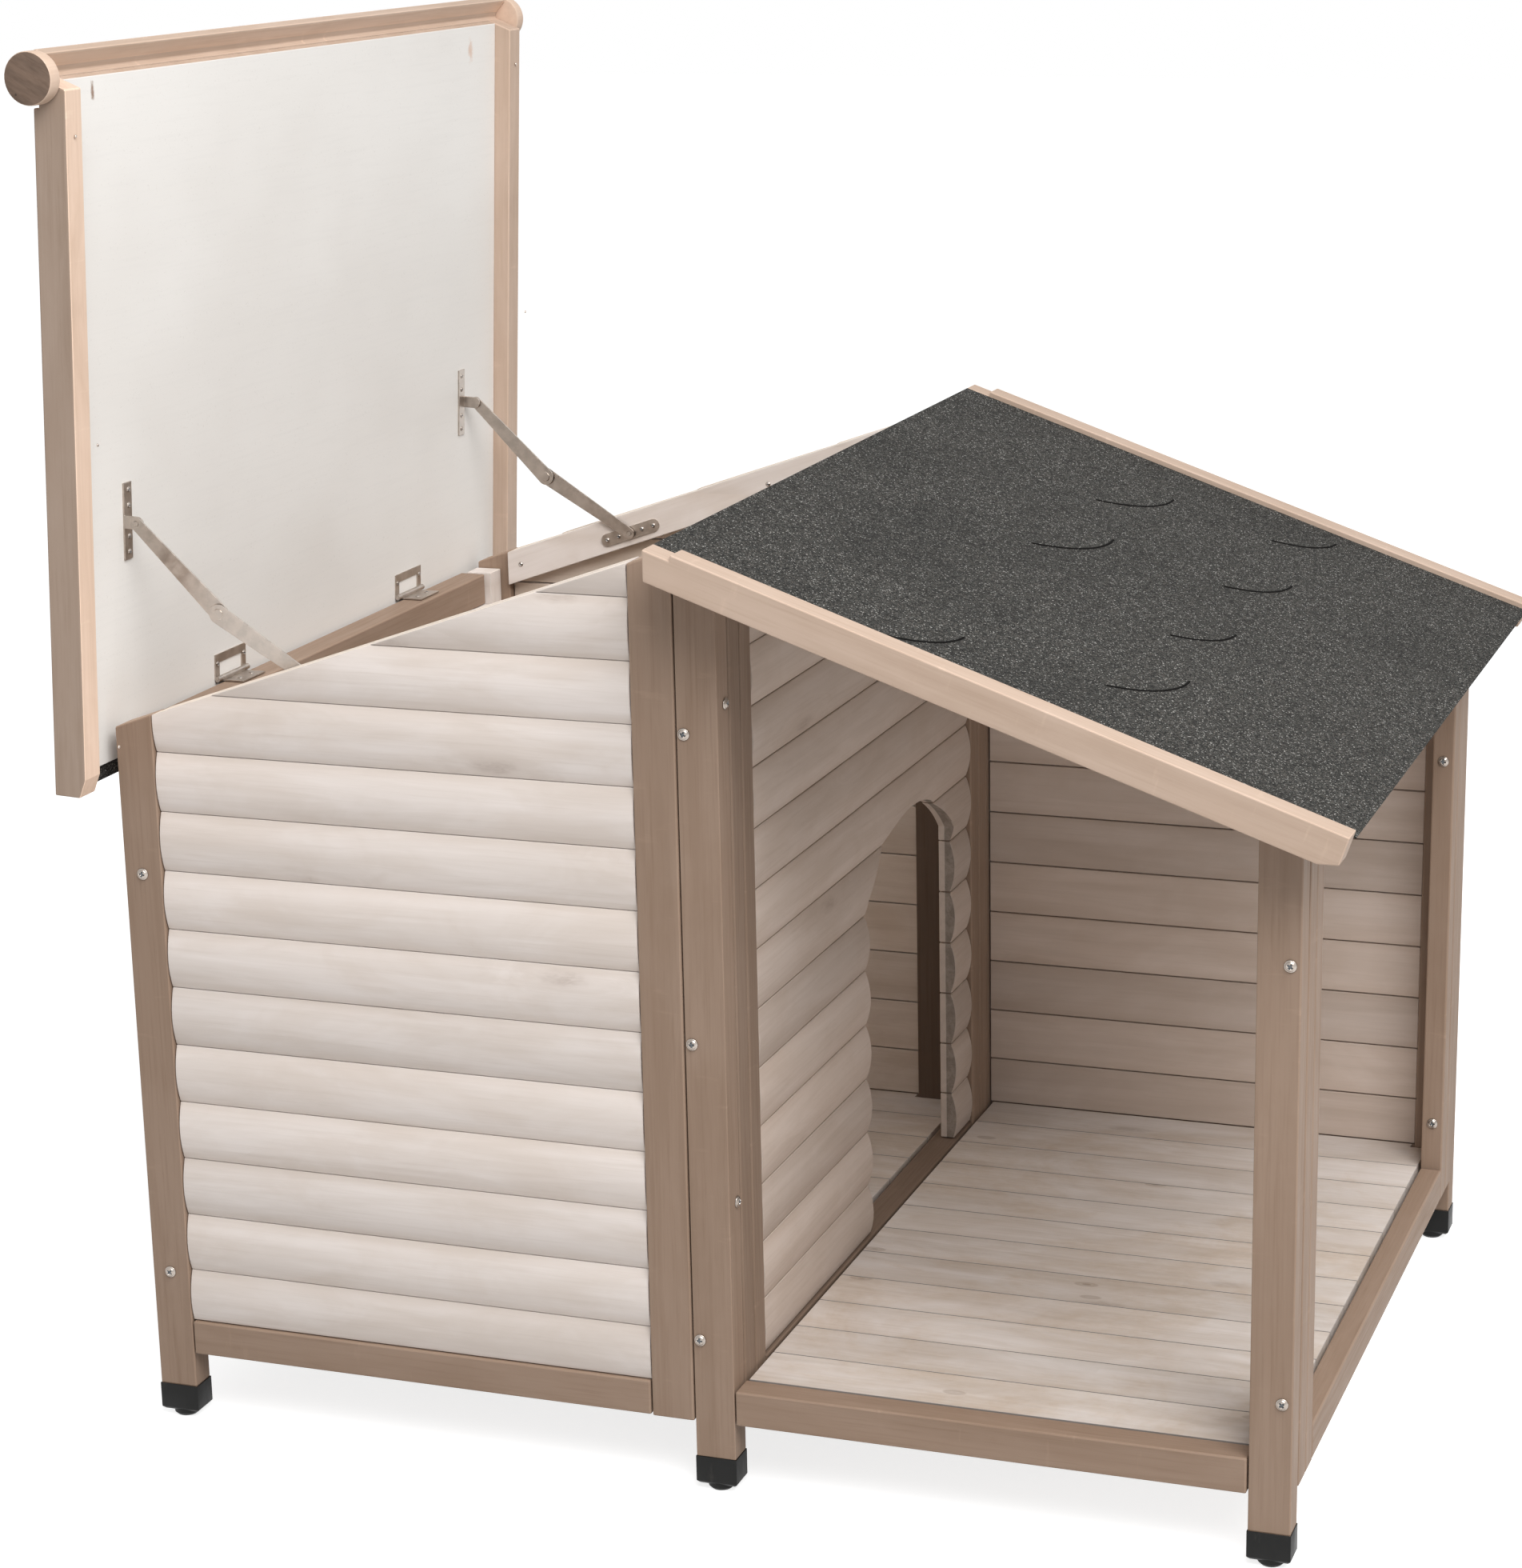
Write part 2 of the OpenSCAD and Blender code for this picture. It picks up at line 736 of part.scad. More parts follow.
module lid_felt() {
  color(charcoal) placed() along_y(-panel_end, panel_end)
    lid_roof() slab(lid_tail + felt_lip, lid_cut, panel_t, felt_top);
}

module lid_barge() {
  along_y(-barge_end, -panel_end) lid_roof() barge(lid_tail, lid_cut, lid_notch);
}

module lid_barge_front() { color(tan_wood) placed() lid_barge(); }
module lid_barge_back() { color(tan_wood) placed() mirror([0, 1, 0]) lid_barge(); }

// Ridge log: an octagon that sits on the lid and covers the upper edge of the fixed roof
ridge_v = lid_face + felt_top;
ridge_u = (-ridge_shift - hinge_x + ridge_v * sin(roof_pitch)) / cos(roof_pitch);

// Drawn upright, as on the closed lid, about the middle of the log
module ridge_outline() {
  rise = (felt_top + ridge_room) / cos(roof_pitch);
  z_mid = under(ridge_shift) + felt_top / cos(roof_pitch);
  step_x = ridge_shift - ridge_past - ridge_gap;
  difference() {
    rotate(180 / octagon) circle(d = ridge_across / cos(180 / octagon), $fn = octagon);
    polygon([
      [-ridge_across, -ridge_across * slope], [step_x, step_x * slope],
      [step_x, ridge_h + rise - z_mid],
      [ridge_shift, ridge_h + rise - z_mid],
      [ridge_across + ridge_shift, ridge_h + rise - z_mid - ridge_across * slope],
      [ridge_across, -ridge_across], [-ridge_across, -ridge_across]
    ]);
  }
}

module ridge_log() {
  color(tan_wood) placed() along_y(-disc_face, disc_face)
    lid_plane() translate([ridge_u, ridge_v]) rotate(-roof_pitch) ridge_outline();
}

module ridge_discs() {
  p = on_lid(ridge_u, ridge_v);
  color(tan_wood) placed() front_and_back()
    translate([p[0], -disc_face, p[1]]) rotate([90, 0, 0]) cylinder(d = disc_d, h = disc_t, $fn = 64);
}

// Hinges
module knuckle(y0, y1) {
  translate([hinge_x, y0, hinge_z]) rotate([-90, 0, 0]) cylinder(d = knuckle_d, h = y1 - y0);
}

module pin_bore(room) {
  translate([hinge_x, -hinge_l, hinge_z]) rotate([-90, 0, 0])
    cylinder(d = pin_d + 2 * room, h = 2 * hinge_l);
}

knuckle_in = hinge_l / 2 - leaf_bar;

// A frame on the lid's inner face, with a knuckle at each end
module lid_leaf() {
  difference() {
    union() {
      difference() {
        along_y(-hinge_l / 2, hinge_l / 2) lid_plane()
          translate([0, lid_face - leaf_t]) square([leaf_w, leaf_t]);
        along_y(-knuckle_in, knuckle_in) lid_plane()
          translate([-leaf_w, lid_face - leaf_t - over]) square([2 * leaf_w - leaf_bar, leaf_t + 2 * over]);
      }
      for (s = [-1, 1])
        knuckle(min(s * knuckle_in, s * hinge_l / 2), max(s * knuckle_in, s * hinge_l / 2));
    }
    pin_bore(0);
  }
}

// A plate on the hinge rail that nests in the lid leaf's window
module wall_leaf() {
  w = knuckle_in - hinge_room;
  difference() {
    union() {
      block([hinge_x, hinge_x + leaf_w], [-w, w], [hinge_rail_top, hinge_rail_top + leaf_t]);
      knuckle(-w, w);
    }
    pin_bore(hinge_room);
  }
}

module at_hinges() {
  for (y = hinge_y) translate([0, y, 0]) children();
}

module at_wall_leaf_screws() {
  at_hinges() for (s = [-1, 1])
    translate([hinge_x + leaf_w * leaf_screw_part, s * knuckle_in / 2, hinge_rail_top + leaf_t]) children();
}

module hinge_lid_leaves() {
  color(zinc) placed() difference() {
    at_hinges() lid_leaf();
    at_lid_screws() small_hole();
  }
}

module hinge_wall_leaves() {
  color(zinc) placed() difference() {
    at_hinges() wall_leaf();
    at_wall_leaf_screws() small_hole();
  }
}

module hinge_pins() {
  color(zinc) placed() at_hinges() translate([hinge_x, -hinge_l / 2, hinge_z])
    rotate([-90, 0, 0]) cylinder(d = pin_d, h = hinge_l);
}

// Stays
// Draws a plate in X and Z at a layer, by the front wall for side -1 and the back wall for side 1
module stay_layer(side, t, h) {
  y = half_d - t - h;
  if (side < 0)
    along_y(-y - h, -y) children();
  else
    along_y(y, y + h) children();
}

// A bar with round ends of different widths, along the outline's x
module tapered_bar(l, w0, w1) {
  s = (w0 - w1) / 2 / l;
  c = sqrt(1 - s * s);
  circle(d = w0);
  translate([l, 0]) circle(d = w1);
  polygon([
    [w0 / 2 * s, w0 / 2 * c], [l + w1 / 2 * s, w1 / 2 * c],
    [l + w1 / 2 * s, -w1 / 2 * c], [w0 / 2 * s, -w0 / 2 * c]
  ]);
}

module between(a, b) {
  d = b - a;
  translate(a) rotate(atan2(d[1], d[0])) children();
}

// One arm: a bore at its bracket and a rivet at the knee
module arm(side, from, layer, rivet_layer) {
  difference() {
    stay_layer(side, layer, stay_t) between(from, knee) tapered_bar(arm_l, arm_end, arm_knee);
    stay_layer(side, layer - over, stay_t + 2 * over) translate(from) circle(d = pivot_d + 2 * pivot_room);
  }
  stay_layer(side, rivet_layer, stay_t) translate(knee) circle(d = arm_end * boss_part);
}

module upper_arm(side) {
  arm(side, lid_pivot, upper_layer, upper_layer + stay_t / 2);
}

module lower_arm(side) {
  arm(side, wall_pivot, lower_layer, lower_layer - stay_t / 2);
}

module stay_front_upper_arm() { color(zinc) placed() upper_arm(-1); }
module stay_front_lower_arm() { color(zinc) placed() lower_arm(-1); }
module stay_back_upper_arm() { color(zinc) placed() upper_arm(1); }
module stay_back_lower_arm() { color(zinc) placed() lower_arm(1); }

// A plate on the cleat, along the slope, with the wall pivot standing on it
module wall_bracket(side) {
  difference() {
    stay_layer(side, cleat_face, stay_t) translate(wall_pivot) rotate(roof_pitch)
      translate([-bracket_l / 2 + bracket_w / 2, 0])
        tapered_bar(bracket_l - bracket_w, bracket_w, bracket_w);
    at_wall_bracket(side) small_hole();
  }
  stay_layer(side, cleat_face + stay_t / 2, 1.5 * stay_t + arm_clear + stay_room / 2) translate(wall_pivot)
    circle(d = pivot_d);
  stay_layer(side, cleat_face + stay_t / 2, stay_t / 2 + arm_clear * boss_rise) translate(wall_pivot)
    circle(d = arm_end * boss_part);
}

module at_wall_bracket(side) {
  y = half_d - cleat_face - stay_t;
  for (u = bracket_screws)
    translate([wall_pivot[0] + u * cos(roof_pitch), side * y, wall_pivot[1] + u * sin(roof_pitch)])
      rotate([side * 90, 0, 0]) children();
}

module stay_wall_brackets() {
  color(zinc) placed() {
    wall_bracket(-1);
    wall_bracket(1);
  }
}

// A plate on the lid's inner face, and a lug bent out of it that carries the lid pivot
bracket_y = lug_layer + stay_t;

module lid_bracket(side) {
  y0 = side < 0 ? -half_d + lug_layer : half_d - bracket_y - bracket_w + stay_t;
  difference() {
    along_y(y0, y0 + bracket_w) lid_plane()
      translate([stay_u - bracket_l / 2, lid_face - stay_t]) square([bracket_l, stay_t]);
    at_lid_screws() small_hole();
  }
  stay_layer(side, lug_layer, stay_t) {
    translate(lid_pivot) circle(d = arm_end);
    lid_plane() translate([stay_u - arm_end / 2, lid_face - lug_reach])
      square([arm_end, lug_reach - stay_t / 2]);
  }
  stay_layer(side, upper_layer - stay_room / 2, stay_t + 2 * stay_room) translate(lid_pivot)
    circle(d = pivot_d);
  stay_layer(side, lug_layer - stay_room * boss_rise, stay_t) translate(lid_pivot)
    circle(d = arm_end * boss_part);
}

module stay_lid_brackets() {
  color(zinc) placed() {
    lid_bracket(-1);
    lid_bracket(1);
  }
}

// Turns what stands on z = 0 so that it stands on the lid's inner face, at u, y and height h over it
module stand_on_lid(u, y, h) {
  p = on_lid(u, lid_face - h);
  translate([p[0], y, p[1]]) rotate([0, 180 - open_lean, 0]) children();
}

// Puts a screw, or its hole, at each place on the lid's brackets and hinge leaves
module at_lid_screws() {
  bracket_mid = half_d - lug_layer - stay_t / 2 - bracket_w / 2;
  for (side = [-1, 1], u = bracket_screws)
    stand_on_lid(stay_u + u, side * bracket_mid, stay_t) children();
  at_hinges() for (s = [-1, 1])
    stand_on_lid(leaf_w * leaf_screw_part, s * (hinge_l / 2 - leaf_bar / 2), leaf_t) children();
}

// Screws
module post_screws() {
  color(zinc) placed() at_post_screws() big_screw();
}

module wall_small_screws() {
  color(zinc) placed() {
    at_wall_leaf_screws() small_screw();
    for (side = [-1, 1]) {
      at_wall_bracket(side) small_screw();
      at_cleat(side) small_screw();
    }
  }
}

module lid_small_screws() {
  color(zinc) placed() at_lid_screws() small_screw();
}

post_front_left();
post_front_middle();
post_front_right();
post_back_left();
post_back_middle();
post_back_right();
foot_caps();
front_panel_rail();
front_panel_logs();
front_panel_stile();
front_cleat();
back_panel_rail();
back_panel_logs();
back_panel_stile();
back_cleat();
left_wall_rail();
left_wall_logs();
left_wall_front_stile();
left_wall_back_stile();
hinge_rail();
door_wall_threshold();
door_wall_logs();
door_arch_front_log();
door_arch_back_log();
door_arch_top_log();
door_wall_front_stile();
door_wall_back_stile();
terrace_front_rail();
terrace_back_rail();
terrace_back_logs();
side_frame_rail();
side_frame_top_rail();
side_frame_front_stile();
side_frame_back_stile();
sleeping_floor_boards();
terrace_floor_boards();
floor_bearers();
roof_panel();
roof_felt();
roof_barge_front();
roof_barge_back();
hinge_wall_leaves();
stay_wall_brackets();
post_screws();
wall_small_screws();
lid_panel();
lid_felt();
lid_barge_front();
lid_barge_back();
ridge_log();
ridge_discs();
hinge_lid_leaves();
hinge_pins();
stay_lid_brackets();
lid_small_screws();
stay_front_upper_arm();
stay_front_lower_arm();
stay_back_upper_arm();
stay_back_lower_arm();
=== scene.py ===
"""Looks of a dog kennel with log-board walls, a covered terrace and a hinged half roof."""
import json
import math

import bmesh
import bpy
import numpy as np
from bpy.props import FloatProperty, FloatVectorProperty, PointerProperty
from mathutils import Euler, Matrix, Vector


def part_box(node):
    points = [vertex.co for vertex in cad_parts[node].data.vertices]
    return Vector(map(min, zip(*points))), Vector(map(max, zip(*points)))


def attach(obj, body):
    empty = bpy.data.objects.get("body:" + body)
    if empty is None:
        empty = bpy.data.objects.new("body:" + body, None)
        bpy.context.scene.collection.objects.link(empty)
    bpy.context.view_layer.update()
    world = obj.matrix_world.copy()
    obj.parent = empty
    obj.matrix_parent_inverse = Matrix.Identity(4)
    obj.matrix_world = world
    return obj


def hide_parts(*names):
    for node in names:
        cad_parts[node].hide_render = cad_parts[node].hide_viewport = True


bl_info = {
    "name": "Dog Kennel Finish",
    "version": (1, 0, 0),
    "blender": (4, 5, 0),
    "location": "View3D > Sidebar > Kennel",
    "description": "Dresses the kennel's frame with sawn, washed and felted finishes",
    "category": "Object",
}

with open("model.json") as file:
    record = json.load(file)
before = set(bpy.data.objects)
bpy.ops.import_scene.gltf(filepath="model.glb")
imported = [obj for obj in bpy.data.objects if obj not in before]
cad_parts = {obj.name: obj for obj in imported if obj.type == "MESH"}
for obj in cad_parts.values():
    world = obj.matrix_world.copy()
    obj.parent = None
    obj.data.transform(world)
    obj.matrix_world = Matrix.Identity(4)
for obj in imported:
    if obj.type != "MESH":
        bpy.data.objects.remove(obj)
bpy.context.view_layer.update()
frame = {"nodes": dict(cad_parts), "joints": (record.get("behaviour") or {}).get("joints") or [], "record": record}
RECORD = frame["record"]
BODY_OF = {n: b for b, nodes in RECORD["behaviour"]["bodies"].items() for n in nodes}
HINGE = next(j for j in frame["joints"] if j["name"] == "lid_hinge")

# Directions of the grain, as turns that bring it onto X
ALONG_X = (0.0, 0.0, 0.0)
ALONG_Y = (0.0, 0.0, math.radians(-90))
ALONG_Z = (0.0, math.radians(90), 0.0)
ROOF_PITCH = math.radians(19.2)
LID_LEAN = ROOF_PITCH + math.radians(HINGE["range_deg"][1])
DOWN_ROOF = (0.0, -ROOF_PITCH, 0.0)
UP_LID = (0.0, LID_LEAN, 0.0)


def srgb(r, g, b):
    """A colour as seen on screen, 0 to 255, as linear light."""
    out = []
    for c in (r / 255, g / 255, b / 255):
        out.append(c / 12.92 if c <= 0.04045 else ((c + 0.055) / 1.055) ** 2.4)
    return out


def colour_property(name, description, *rgb):
    return FloatVectorProperty(
        name=name, description=description, subtype="COLOR", default=srgb(*rgb), min=0, max=1)


def length_property(name, description, default, low, high):
    return FloatProperty(
        name=name, description=description, unit="LENGTH", default=default, min=low, max=high)


class KennelColours(bpy.types.PropertyGroup):
    """Colours of the kennel's finishes."""

    frame_stain: colour_property("Frame stain", "Posts, rails and stiles", 147, 125, 108)
    log_wash: colour_property("Log wash", "Half-round wall boards", 223, 214, 208)
    # The terrace's wash is a darker, warmer copy of the log wash: partly the boards' own tone, partly painted
    # shade under the terrace's roof
    terrace_tone_and_shade_wash: colour_property("Terrace wash", "Half-round boards of the terrace's walls", 206, 191, 180)
    room_wash: colour_property("Room wash", "Flat backs of the wall boards inside the room", 219, 206, 194)
    board_end: colour_property("Board end", "End grain of the boards in the doorway", 150, 138, 128)
    barge_stain: colour_property("Barge stain", "Barge boards and ridge log", 187, 165, 148)
    floor_wash: colour_property("Floor wash", "Floor boards", 212, 204, 198)
    sawn_edge: colour_property("Sawn edge", "Bare wood on sawn edges", 232, 220, 208)
    end_grain: colour_property("End grain", "Outer faces of the ridge discs", 112, 92, 78)
    panel_paint: colour_property("Panel paint", "Undersides of both half roofs", 228, 225, 221)
    felt_base: colour_property("Felt", "Bitumen between the granules", 34, 34, 33)
    foot_black: colour_property("Foot caps", "Moulded foot caps", 14, 14, 13)
    zinc: colour_property("Zinc", "Hinges, stays and screws", 187, 177, 168)


class KennelSizes(bpy.types.PropertyGroup):
    """Small sizes that only the looks need."""

    arris: length_property("Arris", "Rounding of sawn edges", 0.0018, 0.0005, 0.005)
    log_arris: length_property("Log arris", "Rounding of the wall boards' edges", 0.0009, 0.0003, 0.003)
    metal_arris: length_property("Metal arris", "Rounding of pressed metal", 0.0003, 0.0001, 0.001)
    seam: length_property("Seam", "Shrinkage of each frame piece at a joint", 0.0008, 0.0, 0.0015)
    log_seam: length_property("Log seam", "Shrinkage of each wall board at a joint", 0.00005, 0.0, 0.001)
    floor_seam: length_property(
        "Floor seam", "Gap between a floor and the frame beside it", 0.004, 0.0, 0.006)
    floor_joint: length_property(
        "Floor joint", "Shrinkage of each floor board at its long edges", 0.0002, 0.0, 0.002)
    log_pitch: length_property("Log pitch", "Height of one wall board", 0.0615, 0.05, 0.08)
    log_start: length_property(
        "First joint", "Height of the lowest joint between wall boards", 0.1674, 0.1, 0.2)
    post_screw: length_property("Post screw", "Diameter of a post screw's head", 0.0122, 0.008, 0.014)
    small_screw: length_property("Small screw", "Diameter of a bracket screw's head", 0.006, 0.004, 0.008)
    nail: length_property("Nail", "Diameter of a nail's head", 0.0035, 0.002, 0.006)
    felt_cut: length_property("Felt cut", "Width of the cuts pressed into the felt", 0.0032, 0.001, 0.008)


class KennelStage(bpy.types.PropertyGroup):
    """Light, floor and camera."""

    sky: FloatProperty(name="Sky", description="Strength of the even light", default=0.4, min=0, max=2)
    key: FloatProperty(
        name="Key", description="Power of the main lamp", unit="POWER", default=226, min=0, max=2000)
    fill: FloatProperty(
        name="Fill", description="Power of the second lamp", unit="POWER", default=78, min=0, max=2000)
    lens: FloatProperty(
        name="Lens", description="Focal length in millimetres", default=82.703, min=20, max=200)


def colours():
    return bpy.context.scene.kennel_colours


def sizes():
    return bpy.context.scene.kennel_sizes


# Finishes

WHITE = (1.0, 1.0, 1.0)
FLOOR_BOARDS = 12

# Factors on the plain stain or wash of some pieces, most of them painted light or shade: painted shade on the
# stiles' sides that face the room and on the front doorway stile, painted light on the back doorway stile, the
# lid's barge boards, the ridge log's seat and the terrace's back wall. The threshold is darker and the ridge log a
# little lighter.
LEVELS = {
    "threshold": 0.66, "shaded": 0.48, "doorway_front": 0.84, "doorway_back": 1.08,
    "lid_front": 1.45, "lid_back": 1.06, "ridge": 1.04, "ridge_seat": 1.6,
    "terrace_back": 1.13,
}


class Nodes:
    """A node tree that is put together node by node."""

    def __init__(self, tree):
        self.tree = tree
        tree.nodes.clear()

    def put(self, kind, values=None, **settings):
        """Adds a node and feeds its sockets with values or with other nodes' outputs."""
        node = self.tree.nodes.new("ShaderNode" + kind)
        for key, value in settings.items():
            setattr(node, key, value)
        for key, value in (values or {}).items():
            self.feed(node.inputs[key], value)
        return node

    def feed(self, socket, value):
        if isinstance(value, bpy.types.NodeSocket):
            self.tree.links.new(value, socket)
        elif hasattr(value, "__len__") and len(value) == 3 and len(getattr(socket, "default_value", ())) == 4:
            socket.default_value = (*value, 1.0)
        else:
            socket.default_value = value

    def op(self, operation, a, b=0.0):
        return self.put("Math", {0: a, 1: b}, operation=operation).outputs[0]

    def sum(self, a, b):
        return self.op("ADD", a, b)

    def times(self, a, b):
        return self.op("MULTIPLY", a, b)

    def vector(self, x, y, z):
        return self.put("CombineXYZ", {0: x, 1: y, 2: z}).outputs[0]

    def channel(self, colour, index):
        return self.put("SeparateColor", {0: colour}).outputs[index]

    def stretch(self, place, scale):
        return self.put("VectorMath", {0: place, 1: scale}, operation="MULTIPLY").outputs[0]

    def shift(self, place, by):
        return self.put("VectorMath", {0: place, 1: by}, operation="ADD").outputs[0]

    def noise(self, place, scale, detail=2.0, rough=0.5, bend=0.0):
        """Cloudy noise at one scale, or at a scale for each axis."""
        if isinstance(scale, tuple):
            place, scale = self.stretch(place, scale), 1.0
        return self.put("TexNoise", {
            "Vector": place, "Scale": scale, "Detail": detail, "Roughness": rough,
            "Distortion": bend}).outputs[0]

    def cells(self, place, scale=1.0):
        """Distance to the nearest of many scattered points, and its random colour."""
        node = self.put("TexVoronoi", {"Vector": place, "Scale": scale})
        return node.outputs["Distance"], node.outputs["Color"]

    def span(self, value, low, high, to_low=0.0, to_high=1.0):
        return self.put("MapRange", {
            "Value": value, "From Min": low, "From Max": high, "To Min": to_low, "To Max": to_high},
            interpolation_type="SMOOTHSTEP").outputs[0]

    def blend(self, share, a, b, mode="MIX"):
        node = self.put("Mix", data_type="RGBA", blend_type=mode)
        self.feed(node.inputs[0], share)
        self.feed(node.inputs[6], a)
        self.feed(node.inputs[7], b)
        return node.outputs[2]

    def lay(self, paint, colour, share, value, low, high):
        """Lays a share of a colour over the paint where a value passes from low to high."""
        return self.blend(self.times(self.span(value, low, high), share), paint, colour)

    def seen(self):
        """One for rays that show the background, straight or in metal and glass."""
        path = self.put("LightPath")
        some = self.op("MAXIMUM", path.outputs["Is Camera Ray"], path.outputs["Is Glossy Ray"])
        return self.op("MAXIMUM", some, path.outputs["Is Transmission Ray"])


class Finish(Nodes):
    """A material on a principled shader."""

    def __init__(self, name):
        self.material = bpy.data.materials.new(name)
        self.material.use_nodes = True
        super().__init__(self.material.node_tree)
        self.out = self.put("OutputMaterial")
        self.shader = self.put("BsdfPrincipled")
        self.feed(self.out.inputs["Surface"], self.shader.outputs["BSDF"])

    def place(self, turn=ALONG_X):
        """Object coordinates, turned so that the grain runs along X."""
        self.where = self.put("TexCoord").outputs["Object"]
        return self.put("Mapping", {"Vector": self.where, "Rotation": turn}).outputs["Vector"]

    def row(self, axis, start, pitch):
        """A random number for the board that a point belongs to, and how far across the board it is."""
        part = self.put("SeparateXYZ", {0: self.where}).outputs[axis]
        count = self.times(self.sum(part, -start), 1.0 / pitch)
        step = self.op("FLOOR", count)
        tone = self.put("TexWhiteNoise", {"W": step}, noise_dimensions="1D").outputs["Value"]
        return tone, self.op("FRACT", count)

    def relief(self, height, strength, distance):
        bump = self.put("Bump", {"Height": height, "Strength": strength, "Distance": distance})
        self.feed(self.shader.inputs["Normal"], bump.outputs["Normal"])

    def coat(self, paint, rough, gloss=None):
        """Sets the colour and roughness, and the gloss where it isn't the usual one."""
        self.feed(self.shader.inputs["Base Color"], paint)
        self.feed(self.shader.inputs["Roughness"], rough)
        if gloss is not None:
            self.shader.inputs["Specular IOR Level"].default_value = gloss


def shade(colour, factor):
    return [min(1.0, c * factor) for c in colour]


def tint(colour, r, g, b):
    return [colour[0] * r, colour[1] * g, colour[2] * b]


def knot_field(f, place, share, flat):
    """The hearts of knots that lie flat on a face, and the halos in which the grain bends."""
    spread = [5.2, 17.0, 17.0]
    spread[flat] = 0.0
    far, pick = f.cells(f.stretch(place, spread))
    chosen = f.op("GREATER_THAN", f.channel(pick, 0), 1.0 - 0.5 * share)
    wobble = f.sum(f.noise(place, (70.0, 150.0, 150.0), 2.0), -0.5)
    ragged = f.sum(far, f.times(wobble, 0.09))
    return f.times(f.span(ragged, 0.19, 0.05), chosen), f.times(f.span(ragged, 0.55, 0.08), chosen)


def pin_knots(f, paint, place, dark, share, flat):
    """Small knots, each a dark ring round a dark dot."""
    spread = [13.0, 30.0, 30.0]
    spread[flat] = 0.0
    near, pick = f.cells(f.stretch(place, spread))
    chosen = f.op("GREATER_THAN", f.channel(pick, 1), 1.0 - 0.5 * share)
    ring = f.times(f.span(f.op("ABSOLUTE", f.sum(near, -0.13)), 0.06, 0.02), chosen)
    dot = f.times(f.span(near, 0.11, 0.04), chosen)
    paint = f.blend(f.times(ring, 0.5), paint, tint(dark, 0.6, 0.53, 0.48))
    return f.blend(f.times(dot, 0.65), paint, tint(dark, 0.42, 0.36, 0.31))


def water_stains(f, paint, share):
    """Brown water stains that run on from board to board."""
    spill = f.noise(f.where, (4.0, 6.0, 6.0), 5.0, 0.68, 0.8)
    speckle = f.noise(f.where, (60.0, 90.0, 90.0), 3.0, 0.7)
    wet = f.times(f.span(spill, 0.44, 0.66), f.span(speckle, 0.3, 0.7, 0.55, 1.0))
    brown = f.blend(1.0, paint, [0.84, 0.755, 0.65], "MULTIPLY")
    return f.blend(f.times(wet, share), paint, brown)


def wood(f, colour, turn, rows=None, knots=0.0, pins=0.0, stains=0.0, fibre=0.3, scuffs=0.0, edge=0.0,
         mottle=0.5, uneven=0.05, flat=1):
    """Sawn softwood under a thin stain or wash: growth bands, fibres, cloudy patches and a few knots.

    rows is the axis, start and pitch of a wall's boards, flat the axis that points out of the face.
    """
    place = f.place(turn)
    if rows:
        tone, across = f.row(*rows)
        place = f.shift(place, f.stretch(tone, (9.0, 3.7, 5.3)))
    light = shade(colour, 1.03)
    dark = tint(shade(colour, 0.93), 1.0, 0.985, 0.965)
    heart, halo = knot_field(f, place, knots, flat)
    # The growth bands wander, and bend round the knots
    wave = f.noise(place, (1.8, 6.0, 6.0), 2.0)
    lift = f.vector(0.0, f.sum(f.times(wave, 1.3), f.times(halo, 0.9)), f.times(wave, 0.8))
    bands = f.noise(f.shift(f.stretch(place, (2.6, 34.0, 34.0)), lift), 1.0, 4.0, 0.6, 0.8)
    fibres = f.noise(place, (9.0, 330.0, 330.0), 3.0, 0.65)
    lines = f.noise(place, (3.4, 130.0, 130.0), 3.0, 0.6, 0.3)
    paint = f.blend(f.span(bands, 0.34, 0.68), light, dark)
    paint = f.lay(paint, tint(dark, 0.9, 0.87, 0.84), fibre, lines, 0.52, 0.72)
    paint = f.lay(paint, tint(dark, 0.84, 0.81, 0.78), fibre, fibres, 0.5, 0.75)
    # The wash lies unevenly: thin warm patches beside thick pale ones
    cloud = f.noise(place, (7.0, 16.0, 16.0), 4.0, 0.6, 0.6)
    patch = f.blend(f.span(cloud, 0.36, 0.64), [0.94, 0.91, 0.885], [1.04, 1.04, 1.05])
    paint = f.blend(mottle, paint, f.blend(1.0, paint, patch, "MULTIPLY"))
    # Darker and browner towards both long edges of a board: thinner wash there, and on the round wall boards also
    # painted shade where they turn away from the light
    if edge:
        from_middle = f.op("ABSOLUTE", f.sum(across, -0.5))
        rim = f.span(f.sum(from_middle, f.times(cloud, 0.12)), 0.36, 0.56)
        paint = f.blend(f.times(rim, edge), paint, tint(dark, 0.86, 0.81, 0.76))
    paint = f.blend(f.times(halo, 0.22), paint, tint(dark, 0.86, 0.82, 0.79))
    rings = f.noise(place, (60.0, 200.0, 200.0), 2.0, 0.5, 1.5)
    inner = f.times(heart, f.span(rings, 0.3, 0.7, 0.3, 0.65))
    paint = f.blend(inner, paint, tint(dark, 0.66, 0.61, 0.58))
    if pins:
        paint = pin_knots(f, paint, place, dark, pins, flat)
    if stains:
        paint = water_stains(f, paint, stains)
    if scuffs:
        rub = f.noise(place, (70.0, 16.0, 16.0), 3.0, 0.6)
        paint = f.lay(paint, shade(light, 1.5), scuffs, rub, 0.62, 0.76)
    if rows:
        grey = f.span(tone, 0.0, 1.0, 1.02 - 2 * uneven, 1.02)
        paint = f.blend(1.0, paint, f.stretch(grey, (1.0, 0.997, 0.993)), "MULTIPLY")
    f.coat(paint, f.span(fibres, 0.3, 0.7, 0.55, 0.72), 0.35)
    f.relief(f.sum(f.times(fibres, 0.5), f.sum(f.times(lines, 0.3), f.times(bands, 0.2))), 0.3, 0.0006)


